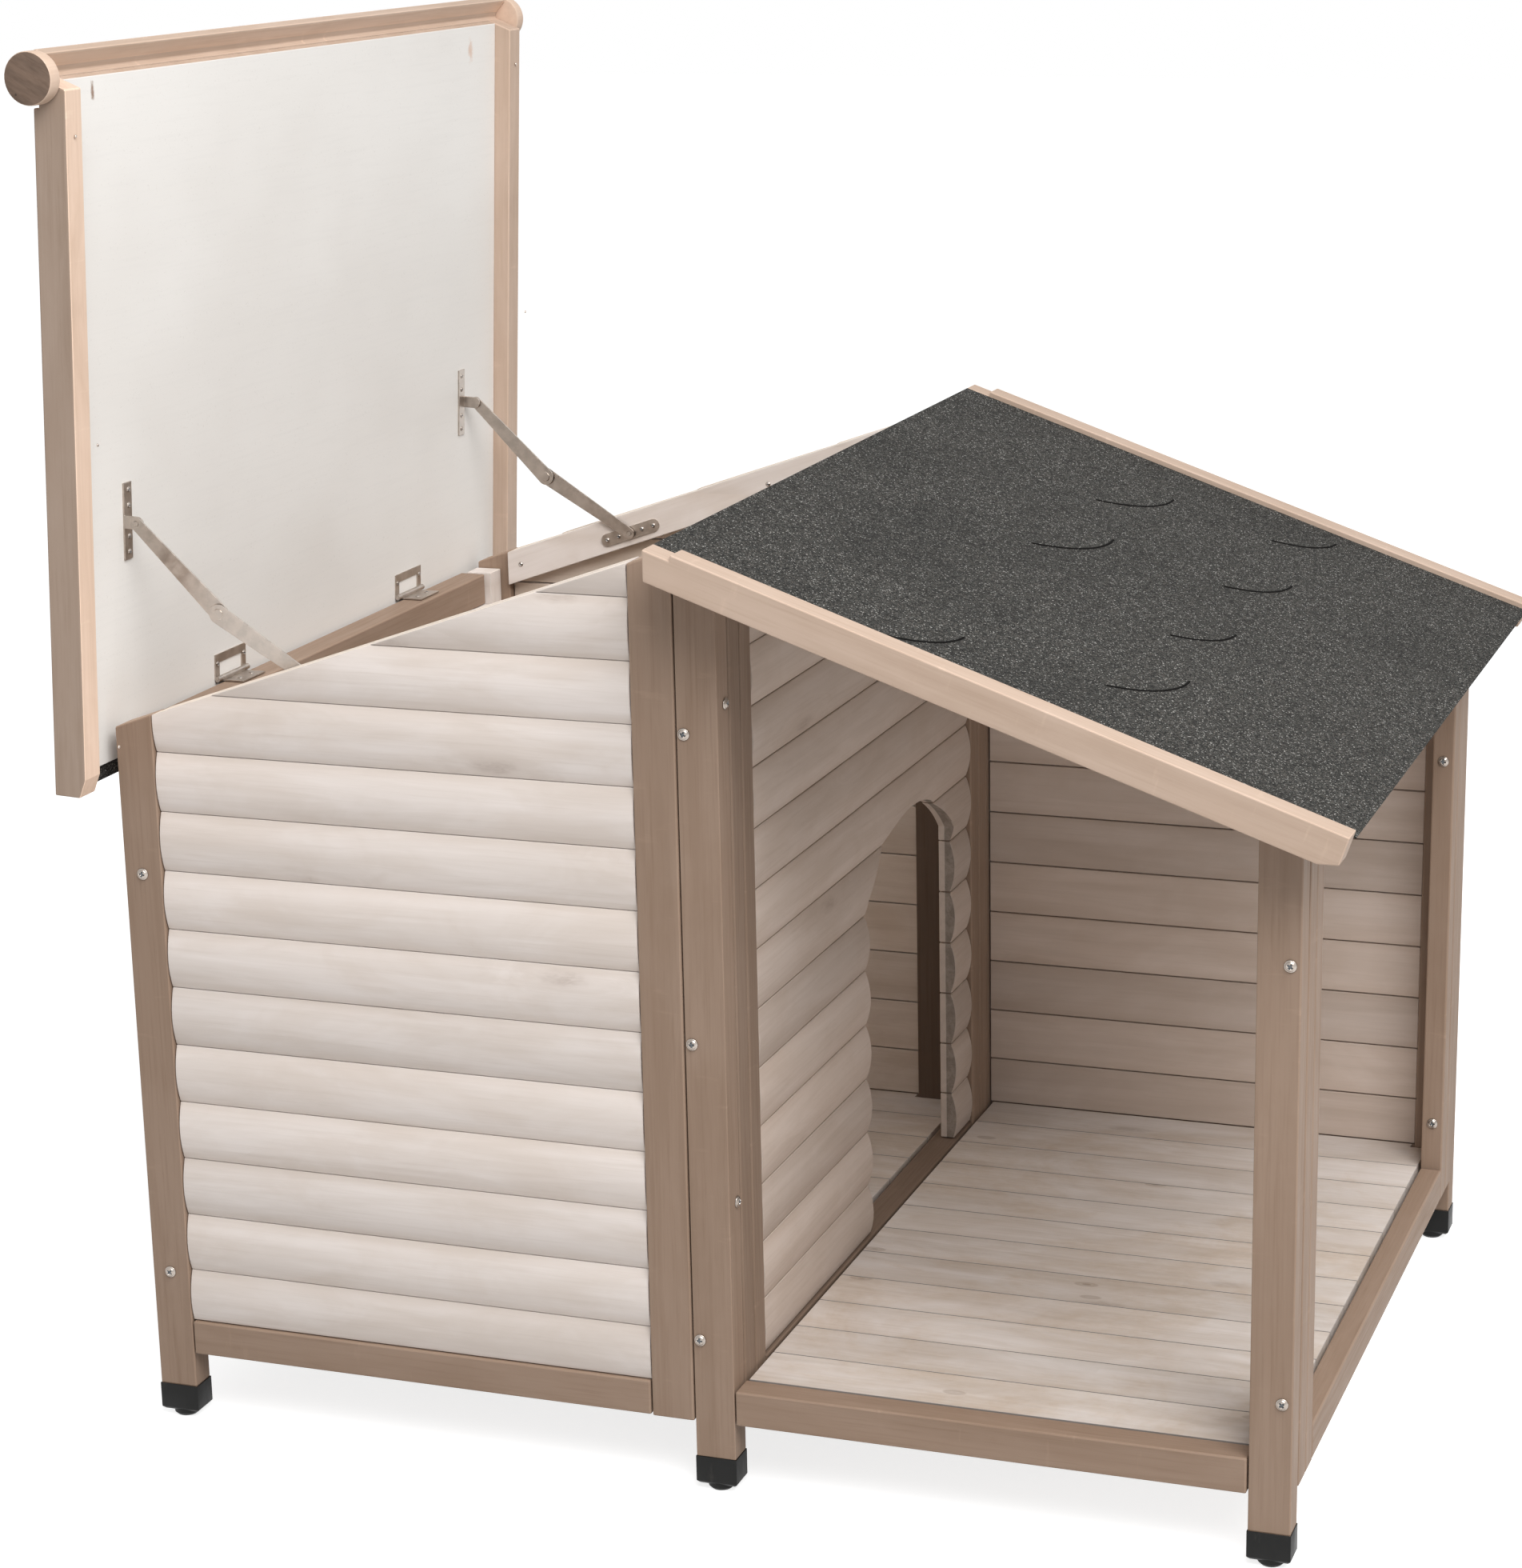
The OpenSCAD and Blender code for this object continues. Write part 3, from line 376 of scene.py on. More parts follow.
def end_grain(f, colour):
    """Streaks and pores on the outer face of a round end block."""
    place = f.place((0.0, math.radians(-28), 0.0))
    coarse = f.noise(place, (16.0, 16.0, 95.0), 3.0, 0.6, 0.8)
    pores = f.noise(place, (90.0, 90.0, 420.0), 2.0)
    far, pick = f.cells(place, 85.0)
    holes = f.times(f.span(far, 0.14, 0.06), f.op("GREATER_THAN", f.channel(pick, 0), 0.9))
    paint = f.blend(f.span(coarse, 0.35, 0.68), shade(colour, 0.84), shade(colour, 1.18))
    paint = f.lay(paint, shade(colour, 0.62), 0.4, pores, 0.5, 0.74)
    paint = f.blend(f.times(holes, 0.8), paint, shade(colour, 0.25))
    f.coat(paint, f.span(pores, 0.3, 0.7, 0.66, 0.86))
    f.relief(pores, 0.4, 0.0005)


def doorway_end(f, colour, wash, back, flat):
    """End grain of the doorway's boards: grey on the round part, washed on the flat part at the back."""
    place = f.place()
    depth = f.put("SeparateXYZ", {0: f.where}).outputs[0]
    rings = f.noise(place, (70.0, 30.0, 55.0), 3.0, 0.6, 1.2)
    pores = f.noise(place, 520.0, 2.0)
    grey = f.blend(f.span(rings, 0.35, 0.66), shade(colour, 0.8), shade(colour, 1.12))
    grey = f.lay(grey, shade(colour, 0.6), 0.4, pores, 0.5, 0.75)
    pale = f.blend(f.span(rings, 0.35, 0.66), shade(wash, 0.93), shade(wash, 1.02))
    edge = back + flat
    paint = f.blend(f.span(depth, edge - 0.0006, edge + 0.0004), pale, grey)
    f.coat(paint, f.span(pores, 0.3, 0.7, 0.66, 0.86))
    f.relief(pores, 0.35, 0.0005)


def painted_board(f, colour, marks=()):
    """Thin board under a worn off-white paint, with faint mottling.

    marks are worn spots: place across and up, half width, half height and colour.
    """
    place = f.place(ALONG_Y)
    cloud = f.noise(place, (2.2, 3.0, 3.0), 3.0, 0.6)
    brush = f.noise(place, (12.0, 260.0, 260.0), 2.0)
    speck = f.noise(place, 420.0, 1.0)
    paint = f.blend(f.span(cloud, 0.3, 0.7), tint(colour, 0.95, 0.94, 0.93), shade(colour, 1.03))
    paint = f.lay(paint, shade(colour, 0.84), 0.1, brush, 0.45, 0.75)
    paint = f.lay(paint, [0.5, 0.46, 0.42], 0.2, speck, 0.68, 0.74)
    for y, z, half_y, half_z, bare in marks:
        wander = f.noise(f.where, 130.0, 3.0, 0.7)
        from_mark = f.stretch(f.shift(f.where, (0.0, -y, -z)), (0.0, 1.0 / half_y, 1.0 / half_z))
        reach = f.put("VectorMath", {0: from_mark}, operation="LENGTH").outputs["Value"]
        spot = f.span(f.sum(reach, f.times(wander, 1.1)), 1.25, 0.7)
        paint = f.blend(f.times(spot, 0.85), paint, bare)
    f.coat(paint, f.span(cloud, 0.3, 0.7, 0.52, 0.66))
    f.relief(f.sum(brush, f.times(speck, 0.5)), 0.15, 0.0003)


def felt(f, colour):
    """Bitumen felt under pressed mineral granules."""
    place = f.place()
    far, pick = f.cells(place, 950.0)
    grain, shine, hue = f.put("SeparateColor", {0: pick}).outputs[:3]
    worn = f.noise(place, 6.0, 3.0, 0.6)
    clump = f.noise(place, 120.0, 2.0, 0.6)
    grey = f.blend(hue, srgb(96, 98, 95), srgb(110, 103, 96))
    paint = f.blend(f.op("POWER", grain, 2.4), colour, grey)
    paint = f.lay(paint, shade(colour, 0.6), 0.5, clump, 0.45, 0.7)
    paint = f.lay(paint, srgb(192, 190, 185), 0.9, shine, 0.945, 0.99)
    paint = f.lay(paint, shade(colour, 0.8), 0.3, worn, 0.42, 0.72)
    f.coat(paint, f.span(grain, 0.0, 1.0, 0.95, 0.8), 0.15)
    f.relief(f.sum(f.times(far, -1.0), f.times(grain, 0.4)), 0.8, 0.001)


def moulded_plastic(f, colour):
    """Black plastic with a fine moulded grain and dusty scuffs."""
    place = f.place()
    grain = f.noise(place, 900.0, 2.0)
    scuff = f.noise(place, (60.0, 60.0, 22.0), 4.0, 0.65)
    paint = f.lay(colour, srgb(88, 85, 80), 0.3, scuff, 0.58, 0.82)
    f.coat(paint, f.span(scuff, 0.3, 0.8, 0.42, 0.62), 0.25)
    f.relief(grain, 0.2, 0.0003)


def plated(f, colour, rough):
    """Zinc-plated steel with a faint brushing and cloudy spangle."""
    place = f.place()
    cloud = f.noise(place, 90.0, 3.0, 0.6)
    brush = f.noise(place, (260.0, 260.0, 1500.0), 2.0)
    paint = f.blend(f.span(cloud, 0.3, 0.7), shade(colour, 0.88), shade(colour, 1.1))
    dull = f.span(cloud, 0.3, 0.7, rough - 0.08, rough + 0.08)
    f.coat(paint, f.sum(dull, f.times(brush, 0.08)))
    f.shader.inputs["Metallic"].default_value = 1.0
    f.relief(brush, 0.06, 0.0002)


def slot_shadow(f):
    """Painted shade in the cross slot of a screw: dull grey steel, darker than the head."""
    spot = f.noise(f.place(), 900.0, 2.0)
    f.coat(f.blend(spot, srgb(84, 88, 92), srgb(126, 130, 134)), f.span(spot, 0.2, 0.8, 0.4, 0.6))
    f.shader.inputs["Metallic"].default_value = 0.8


def cut_bitumen(f):
    """Black bitumen in the cuts of the felt; its black is partly painted shade under the shingles' edges."""
    spot = f.noise(f.place(), 500.0, 2.0)
    f.coat(f.blend(spot, srgb(10, 10, 10), srgb(32, 31, 30)), f.span(spot, 0.2, 0.8, 0.85, 1.0), 0.04)
    f.relief(spot, 0.4, 0.0005)


FINISHES = {}


def finish(name, make, *args, **kw):
    """The material of that name, made when it is first asked for."""
    if name not in FINISHES:
        f = Finish(name)
        make(f, *args, **kw)
        FINISHES[name] = f.material
    return FINISHES[name]


def frame_face(turn, tag):
    """Stain on the planed faces of a post, rail or stile, at the piece's level, which for some pieces is painted
    shade or painted light.
    """
    stain = shade(colours().frame_stain, LEVELS.get(tag, 1.0))
    return finish("frame_stain_" + tag, wood, stain, turn, knots=0.1, fibre=0.4, scuffs=0.14, mottle=0.6)


def frame_wood(turn, tag):
    """Stain on the faces, the worn arrises and the sawn ends."""
    stain = shade(colours().frame_stain, LEVELS.get(tag, 1.0))
    return [frame_face(turn, tag),
            finish("frame_arris_" + tag, wood, shade(stain, 1.1), turn, fibre=0.35, scuffs=0.3),
            finish("frame_sawn_" + tag, wood, shade(stain, 1.35), turn, fibre=0.4)]


def log_wood(turn, tag, wash=None, uneven=0.05):
    """Wash on the round side, on the edges, on sawn cuts and on the flat back inside."""
    c, s = colours(), sizes()
    wash = wash or c.log_wash
    rows = (2, s.log_start, s.log_pitch)
    return [finish("log_wash_" + tag, wood, wash, turn, rows, knots=0.28, fibre=0.2, edge=0.35, mottle=0.65,
                   uneven=uneven),
            finish("log_arris_" + tag, wood, shade(wash, 0.9), turn, rows),
            finish("log_sawn_" + tag, wood, c.sawn_edge, turn, fibre=0.15),
            finish("log_back_" + tag, wood, c.room_wash, turn, rows, knots=0.4, fibre=0.35, mottle=0.9)]


def barge_face(turn, tag):
    """Stain on the faces of a barge board or the ridge log, at the piece's level: painted light on the lid's barge
    boards and the ridge log's seat.
    """
    stain = shade(colours().barge_stain, LEVELS.get(tag, 1.0))
    return finish("barge_stain_" + tag, wood, stain, turn, knots=0.3, scuffs=0.15)


def barge_wood(turn, tag):
    """Stain on the faces and the worn arrises, and painted shade on the outer face: a darker copy of the stain."""
    stain = colours().barge_stain
    worn = shade(stain, 1.15 * LEVELS.get(tag, 1.0))
    return [barge_face(turn, tag),
            finish("barge_arris_" + tag, wood, worn, turn, scuffs=0.3),
            finish("barge_outer_" + tag, wood, shade(stain, 0.74), turn, knots=0.2, fibre=0.35)]


def floor_wood():
    """Wash on the boards, a darker wash on their arrises, and painted shade on their long side faces in the joints
    between them.
    """
    wash = colours().floor_wash
    low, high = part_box("terrace_floor_boards")
    rows = (1, low.y, (high.y - low.y) / FLOOR_BOARDS)
    return [finish("floor_wash", wood, wash, ALONG_X, rows, knots=0.6, pins=0.35, stains=0.7, fibre=0.28,
                   edge=0.2, mottle=1.0, flat=2),
            finish("floor_arris", wood, shade(wash, 0.75), ALONG_X, rows),
            finish("floor_joint", wood, shade(wash, 0.42), ALONG_X, rows)]


def bright_zinc():
    """Zinc on rubbed edges, pins and nails."""
    return finish("zinc_bright", plated, shade(colours().zinc, 1.15), 0.22)


# Shapes

# Edges are rounded where their faces turn by more than this
SHARP = math.radians(28)
# A face looks to a side when this share of its normal does
FACING = 0.3
# Bounds of the normal of an edge that was sawn along the roof's slope
CUT_UPWARD, CUT_ASIDE = 0.9, (0.25, 0.45)

# A screw's head, in shares of its radius and rise: a flange, a dome on it and a cross slot in the dome
FLANGE_FROM, FLANGE_RISE = 0.8, 0.34
DOME_REACH, DOME_POWER = 0.82, 3.2
SLOT_HALF, SLOT_REACH, SLOT_DEPTH = 0.15, 0.5, 0.62
SLOT_SIDE, SLOT_END = 0.06, 0.08
# Faces this near the slot's arms get its painted shade
SLOT_DARK = (0.14, 0.48)
LEAST_RISE = 0.02
# How deep a head sits in the wood, and the turns at which the screws came to a stop
SEAT_SINK = 0.0002
FIRST_SPIN, NEXT_SPIN = 0.4, 1.1


def make_piece(name, bm, materials, body, replaced=()):
    """Turns a bmesh into a finished piece that rides on a body."""
    mesh = bpy.data.meshes.new(name)
    bm.normal_update()
    bm.to_mesh(mesh)
    bm.free()
    for m in materials:
        mesh.materials.append(m)
    piece = bpy.data.objects.new(name, mesh)
    bpy.context.scene.collection.objects.link(piece)
    if replaced:
        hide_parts(*replaced)
    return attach(piece, body)


def pieces_of(bm):
    """The separate solids of a bmesh, as lists of vertices."""
    left, out = set(bm.verts), []
    while left:
        found, queue = [], [left.pop()]
        while queue:
            vert = queue.pop()
            found.append(vert)
            for edge in vert.link_edges:
                other = edge.other_vert(vert)
                if other in left:
                    left.remove(other)
                    queue.append(other)
        out.append(found)
    return out


def shrink(bm, ease):
    """Takes a little off each solid along X, Y and Z, so that the joints between pieces show."""
    for verts in pieces_of(bm):
        low = [min(v.co[i] for v in verts) for i in range(3)]
        high = [max(v.co[i] for v in verts) for i in range(3)]
        size = [max(h - l, 1e-6) for l, h in zip(low, high)]
        middle = Vector([(l + h) / 2 for l, h in zip(low, high)])
        scale = Vector([(s - 2 * e) / s for s, e in zip(size, ease)])
        bmesh.ops.scale(bm, vec=scale, space=Matrix.Translation(-middle), verts=verts)


def bevel(bm, edges, width, segments):
    """Rounds edges, and gives back the new faces."""
    return bmesh.ops.bevel(
        bm, geom=edges, offset=width, offset_type="OFFSET", segments=segments, profile=0.5,
        affect="EDGES", clamp_overlap=True, material=-1)["faces"]


def soften(bm, width, segments=2, shortest=0.003):
    """Rounds the sharp edges, and gives the new arris faces the second material."""
    edges = [e for e in bm.edges
             if len(e.link_faces) == 2 and e.calc_face_angle(0.0) > SHARP and e.calc_length() > shortest]
    if not edges:
        return
    for face in bevel(bm, edges, width, segments):
        face.material_index = 1


def roof_cut(face):
    """True for an edge that was sawn along the roof's slope."""
    return face.normal.z > CUT_UPWARD and CUT_ASIDE[0] < abs(face.normal.x) < CUT_ASIDE[1]


def mark(bm, index, test):
    """Gives one of the further materials to the faces that pass a test."""
    for face in bm.faces:
        if test(face):
            face.material_index = index


def shade_by_angle(bm, angle):
    """Smooth faces, with creases where edges turn by more than an angle in degrees."""
    for face in bm.faces:
        face.smooth = True
    for edge in bm.edges:
        edge.smooth = len(edge.link_faces) == 2 and edge.calc_face_angle(0.0) < math.radians(angle)


def solid_of(node):
    """The frame's own solid, merged from its loose triangles into flat faces."""
    bm = bmesh.new()
    bm.from_mesh(frame["nodes"][node].data)
    bmesh.ops.remove_doubles(bm, verts=bm.verts, dist=1e-5)
    bmesh.ops.dissolve_limit(bm, angle_limit=math.radians(0.4), verts=bm.verts, edges=bm.edges,
                             use_dissolve_boundaries=False)
    for face in bm.faces:
        face.material_index = 0
    return bm


def dress(node, materials, arris, ease=(0.0, 0.0, 0.0), marks=(), segments=2, shortest=0.003, angle=15):
    """Stands in for a frame node with the same solid, its edges rounded and its finishes on it."""
    bm = solid_of(node)
    shrink(bm, ease)
    soften(bm, arris, segments, shortest)
    bm.normal_update()
    for index, test in marks:
        mark(bm, index, test)
    shade_by_angle(bm, angle)
    return make_piece(node + "_finished", bm, materials, BODY_OF[node], [node])


def screw_places(node):
    """Where each screw of a node has its head: a matrix whose Z points out of the surface."""
    bm = solid_of(node)
    places = []
    for verts in pieces_of(bm):
        points = np.array([v.co[:] for v in verts])
        middle = points.mean(axis=0)
        axis = np.linalg.svd(points - middle, full_matrices=False)[2][0]
        along = (points - middle) @ axis
        round_it = np.linalg.norm(points - middle - np.outer(along, axis), axis=1)
        # The widest ring of points is the rim of the head
        seat = along[round_it > 0.98 * round_it.max()].mean()
        if abs(along.max() - seat) > abs(along.min() - seat):
            axis, seat = -axis, -seat
        out = Vector(axis)
        turn = out.to_track_quat("Z", "Y").to_matrix().to_4x4()
        places.append(Matrix.Translation(Vector(middle) + out * float(seat)) @ turn)
    bm.free()
    return places


def head_height(r, a, b):
    """Height of a head at r from its middle, where a and b are the distances from its slot's two arms."""
    rounding = max(0.0, r - FLANGE_FROM) / (1 - FLANGE_FROM)
    flange = FLANGE_RISE * math.sqrt(max(0.0, 1 - rounding ** 2))
    dome = max(0.0, 1 - (r / DOME_REACH) ** DOME_POWER) ** 0.5
    arms = [min((SLOT_HALF - p) / SLOT_SIDE, (SLOT_REACH - q) / SLOT_END) for p, q in ((a, b), (b, a))]
    sink = SLOT_DEPTH * min(1.0, max(0.0, *arms)) * (1.0 - 0.5 * r)
    return max(LEAST_RISE, max(flange, dome) - sink)


def pan_head(bm, place, radius, rise, steps, spin):
    """A pan head on a thin flange, with a cross slot pressed into it."""
    verts = bmesh.ops.create_grid(bm, x_segments=steps, y_segments=steps, size=1.0)["verts"]
    faces = {f for v in verts for f in v.link_faces}
    c, s = math.cos(spin), math.sin(spin)

    def from_slot(u, v):
        return abs(u * c + v * s), abs(v * c - u * s)

    for vert in verts:
        # The square grid is drawn in to a disc
        x, y = vert.co.x, vert.co.y
        u, v = x * math.sqrt(1 - y * y / 2), y * math.sqrt(1 - x * x / 2)
        height = head_height(min(1.0, math.hypot(u, v)), *from_slot(u, v))
        vert.co = (u * radius, v * radius, rise * height)
    # Faces in the slot get the second material, its painted shade
    for face in faces:
        centre = face.calc_center_median()
        near, far = sorted(from_slot(centre.x / radius, centre.y / radius))
        face.material_index = 1 if near < SLOT_DARK[0] and far < SLOT_DARK[1] else 0
    rim = [e for e in {e for f in faces for e in f.edges} if len(e.link_faces) == 1]
    under = bmesh.ops.extrude_edge_only(bm, edges=rim)["geom"]
    low = [g for g in under if isinstance(g, bmesh.types.BMVert)]
    for vert in low:
        vert.co.z = -SEAT_SINK
    bmesh.ops.contextual_create(bm, geom=[g for g in under if isinstance(g, bmesh.types.BMEdge)])
    bmesh.ops.transform(bm, matrix=place, verts=verts + low)


def set_screws(node, radius, rise, steps):
    """Heads with cross slots for all the screws of a node."""
    bm = bmesh.new()
    for i, place in enumerate(screw_places(node)):
        pan_head(bm, place, radius, rise, steps, FIRST_SPIN + NEXT_SPIN * i)
    bmesh.ops.recalc_face_normals(bm, faces=bm.faces)
    shade_by_angle(bm, 38)
    zinc = finish("zinc_screw", plated, shade(colours().zinc, 0.82), 0.26)
    metals = [zinc, finish("slot_shadow", slot_shadow)]
    return make_piece(node + "_finished", bm, metals, BODY_OF[node], [node])


class KennelOperator:
    bl_options = {"REGISTER", "UNDO"}


class KENNEL_OT_posts(KennelOperator, bpy.types.Operator):
    """Dress the six posts"""
    bl_idname = "kennel.posts"
    bl_label = "Posts"

    def execute(self, context):
        s = sizes()
        for row in ("front", "back"):
            for place in ("left", "middle", "right"):
                dress("post_%s_%s" % (row, place), frame_wood(ALONG_Z, "z"), s.arris, (s.seam, s.seam, 0.0),
                      [(2, roof_cut)])
        return {"FINISHED"}


class KENNEL_OT_rails(KennelOperator, bpy.types.Operator):
    """Dress the rails, stiles and bearers"""
    bl_idname = "kennel.rails"
    bl_label = "Rails and stiles"

    # Joint of the stiles beside the doorway, against the others
    WIDER = 1.8

    def execute(self, context):
        s = sizes()
        for node in ("front_panel_rail", "back_panel_rail", "terrace_front_rail", "terrace_back_rail"):
            dress(node, frame_wood(ALONG_X, "x"), s.arris, (s.seam, 0.0, s.seam))
        for node in ("left_wall_rail", "hinge_rail", "side_frame_rail", "side_frame_top_rail",
                     "floor_bearers"):
            dress(node, frame_wood(ALONG_Y, "y"), s.arris, (0.0, s.seam, s.seam))
        dress("door_wall_threshold", frame_wood(ALONG_Y, "threshold"), s.arris, (0.0, s.seam, s.seam))
        # Painted shade: the sides that face the room get a darker copy of the stain, for the room's shade
        shaded = [frame_face(ALONG_Z, "shaded")]
        for node, inward in (("front_panel_stile", 1), ("back_panel_stile", -1)):
            dress(node, frame_wood(ALONG_Z, "z") + shaded, s.arris, (s.seam, 0.0, 0.0),
                  [(2, roof_cut), (3, lambda face: face.normal.y * inward > FACING)])
        # Painted shade on the front doorway stile and painted light on the back one, through their stain's levels
        for side in ("front", "back"):
            dress("door_wall_%s_stile" % side, frame_wood(ALONG_Z, "doorway_" + side), s.arris,
                  (0.0, s.seam * self.WIDER, 0.0))
        for side in ("front", "back"):
            dress("side_frame_%s_stile" % side, frame_wood(ALONG_Z, "z"), s.arris, (0.0, s.seam, 0.0))
        return {"FINISHED"}


class KENNEL_OT_log_walls(KennelOperator, bpy.types.Operator):
    """Dress the walls of half-round boards, their light stiles and the cleats behind them"""
    bl_idname = "kennel.log_walls"
    bl_label = "Log walls"

    # Extra shrinkage where joints show dark, depth of a board's flat part, spread of the boards' tones
    DARKER, FLAT, UNEVEN = 0.00055, 0.0075, 0.08
    # Bounds of the normals of sawn ends in the doorway, and room kept to the wall's own ends
    END_ASIDE, END_ALONG, END_ROOM = 0.35, 0.12, 0.01

    def execute(self, context):
        s, c = sizes(), colours()
        # terrace is the terrace's wash, partly painted shade
        terrace, dark_seam = c.terrace_tone_and_shade_wash, s.log_seam + self.DARKER
        for node, inward, seam in (("front_panel_logs", 1, s.log_seam), ("back_panel_logs", -1, dark_seam)):
            dress(node, log_wood(ALONG_X, "x"), s.log_arris, (s.log_seam, 0.0, seam),
                  [(2, roof_cut), (3, lambda face: face.normal.y * inward > FACING)])
        dress("left_wall_logs", log_wood(ALONG_Y, "y"), s.log_arris, (0.0, s.log_seam, s.log_seam),
              [(2, roof_cut), (3, lambda face: face.normal.x > FACING)])
        # Painted light: the terrace's back wall gets the terrace's wash made lighter
        back_wall_painted_light_wash = shade(terrace, LEVELS["terrace_back"])
        dress("terrace_back_logs", log_wood(ALONG_X, "terrace_x", back_wall_painted_light_wash, self.UNEVEN), s.log_arris,
              (s.seam, 0.0, dark_seam), [(2, roof_cut)])
        low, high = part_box("door_wall_logs")
        ends = finish("doorway_end", doorway_end, c.board_end, terrace, low.x, self.FLAT)
        woods = log_wood(ALONG_Y, "terrace_y", terrace, self.UNEVEN) + [ends]

        def in_doorway(face):
            y = face.calc_center_median().y
            return (abs(face.normal.x) < self.END_ASIDE and abs(face.normal.y) > self.END_ALONG
                    and low.y + self.END_ROOM < y < high.y - self.END_ROOM)

        for node in ("door_wall_logs", "door_arch_front_log", "door_arch_back_log", "door_arch_top_log"):
            dress(node, woods, s.log_arris, (0.0, s.seam if node == "door_wall_logs" else 0.0, dark_seam),
                  [(2, roof_cut), (3, lambda face: face.normal.x < -FACING), (4, in_doorway)])
        for node in ("left_wall_front_stile", "left_wall_back_stile"):
            dress(node, log_wood(ALONG_Z, "z"), s.log_arris, (0.0, s.seam, 0.0), [(2, roof_cut)])
        for node in ("front_cleat", "back_cleat"):
            dress(node, log_wood((0.0, ROOF_PITCH, 0.0), "slope"), s.log_arris, (s.seam, 0.0, 0.0),
                  [(2, roof_cut)])
        return {"FINISHED"}


class KENNEL_OT_floors(KennelOperator, bpy.types.Operator):
    """Dress the floor boards"""
    bl_idname = "kennel.floors"
    bl_label = "Floors"

    # Share of the normal across the boards that makes a face one of their long edges, which get the joints'
    # painted shade
    LONG_EDGE = 0.8

    def execute(self, context):
        s = sizes()
        for node in ("sleeping_floor_boards", "terrace_floor_boards"):
            dress(node, floor_wood(), s.log_arris / 2, (s.floor_seam, s.floor_joint, 0.0),
                  [(2, lambda face: abs(face.normal.y) > self.LONG_EDGE)])
        return {"FINISHED"}


class KENNEL_OT_feet(KennelOperator, bpy.types.Operator):
    """Dress the foot caps"""
    bl_idname = "kennel.feet"
    bl_label = "Foot caps"

    # Rounding of the caps
    ARRIS = 0.0014

    def execute(self, context):
        black = finish("foot_black", moulded_plastic, colours().foot_black)
        dress("foot_caps", [black, black], self.ARRIS, segments=3, shortest=0.004, angle=40)
        return {"FINISHED"}


class KENNEL_OT_roofs(KennelOperator, bpy.types.Operator):
    """Dress both half roofs: panels, felt and barge boards"""
    bl_idname = "kennel.roofs"
    bl_label = "Half roofs"

    # Worn spots under the lid: place across, way up from the hinge, half width, half height and colour
    WORN = (
        (-0.4385, 0.627, 0.006, 0.017, (126, 88, 60)),
        (0.422, 0.613, 0.013, 0.022, (212, 184, 166)),
    )
    # Rounding of the panels and the felt, and of the barge boards against that of sawn edges
    SHEET_ARRIS, BARGE_ARRIS = 0.0008, 0.7
    # Share of the normal up the slope that makes a face the upper cut of a sheet
    TOP_CUT = 0.7
    # Outer faces of the barge boards look out, and lie this far from the middle; on the lid they get painted shade
    OUTER = 0.47

    def execute(self, context):
        c, s = colours(), sizes()
        rise, foot = math.sin(LID_LEAN), HINGE["pos_m"][2]
        worn = [(y, foot + way * rise, wide, high, srgb(*rgb)) for y, way, wide, high, rgb in self.WORN]
        plain = finish("panel_paint", painted_board, c.panel_paint)
        marked = finish("panel_paint_marked", painted_board, c.panel_paint, worn)
        cover = finish("felt", felt, c.felt_base)
        outer = [(2, lambda face: face.normal.y * face.calc_center_median().y > self.OUTER)]
        for half, turn, board, slope, uphill in (
                ("roof", DOWN_ROOF, plain, ROOF_PITCH, -1), ("lid", UP_LID, marked, LID_LEAN, 1)):
            edge = barge_face(turn, half)
            upper = Vector((math.cos(slope) * uphill, 0.0, math.sin(slope)))
            top_cut = [(2, lambda face: face.normal.dot(upper) > self.TOP_CUT)]
            on_lid = half == "lid"
            dress(half + "_panel", [board, board, edge], self.SHEET_ARRIS, marks=top_cut)
            dress(half + "_felt", [cover, cover, edge], self.SHEET_ARRIS, marks=top_cut if on_lid else [])
            # On the lid the barge boards' stain carries painted light, and their outer faces painted shade
            for side in ("front", "back"):
                dress("%s_barge_%s" % (half, side), barge_wood(turn, half + "_" + side),
                      s.arris * self.BARGE_ARRIS, (0.0, s.seam / 2, 0.0), outer if on_lid else [])
        return {"FINISHED"}


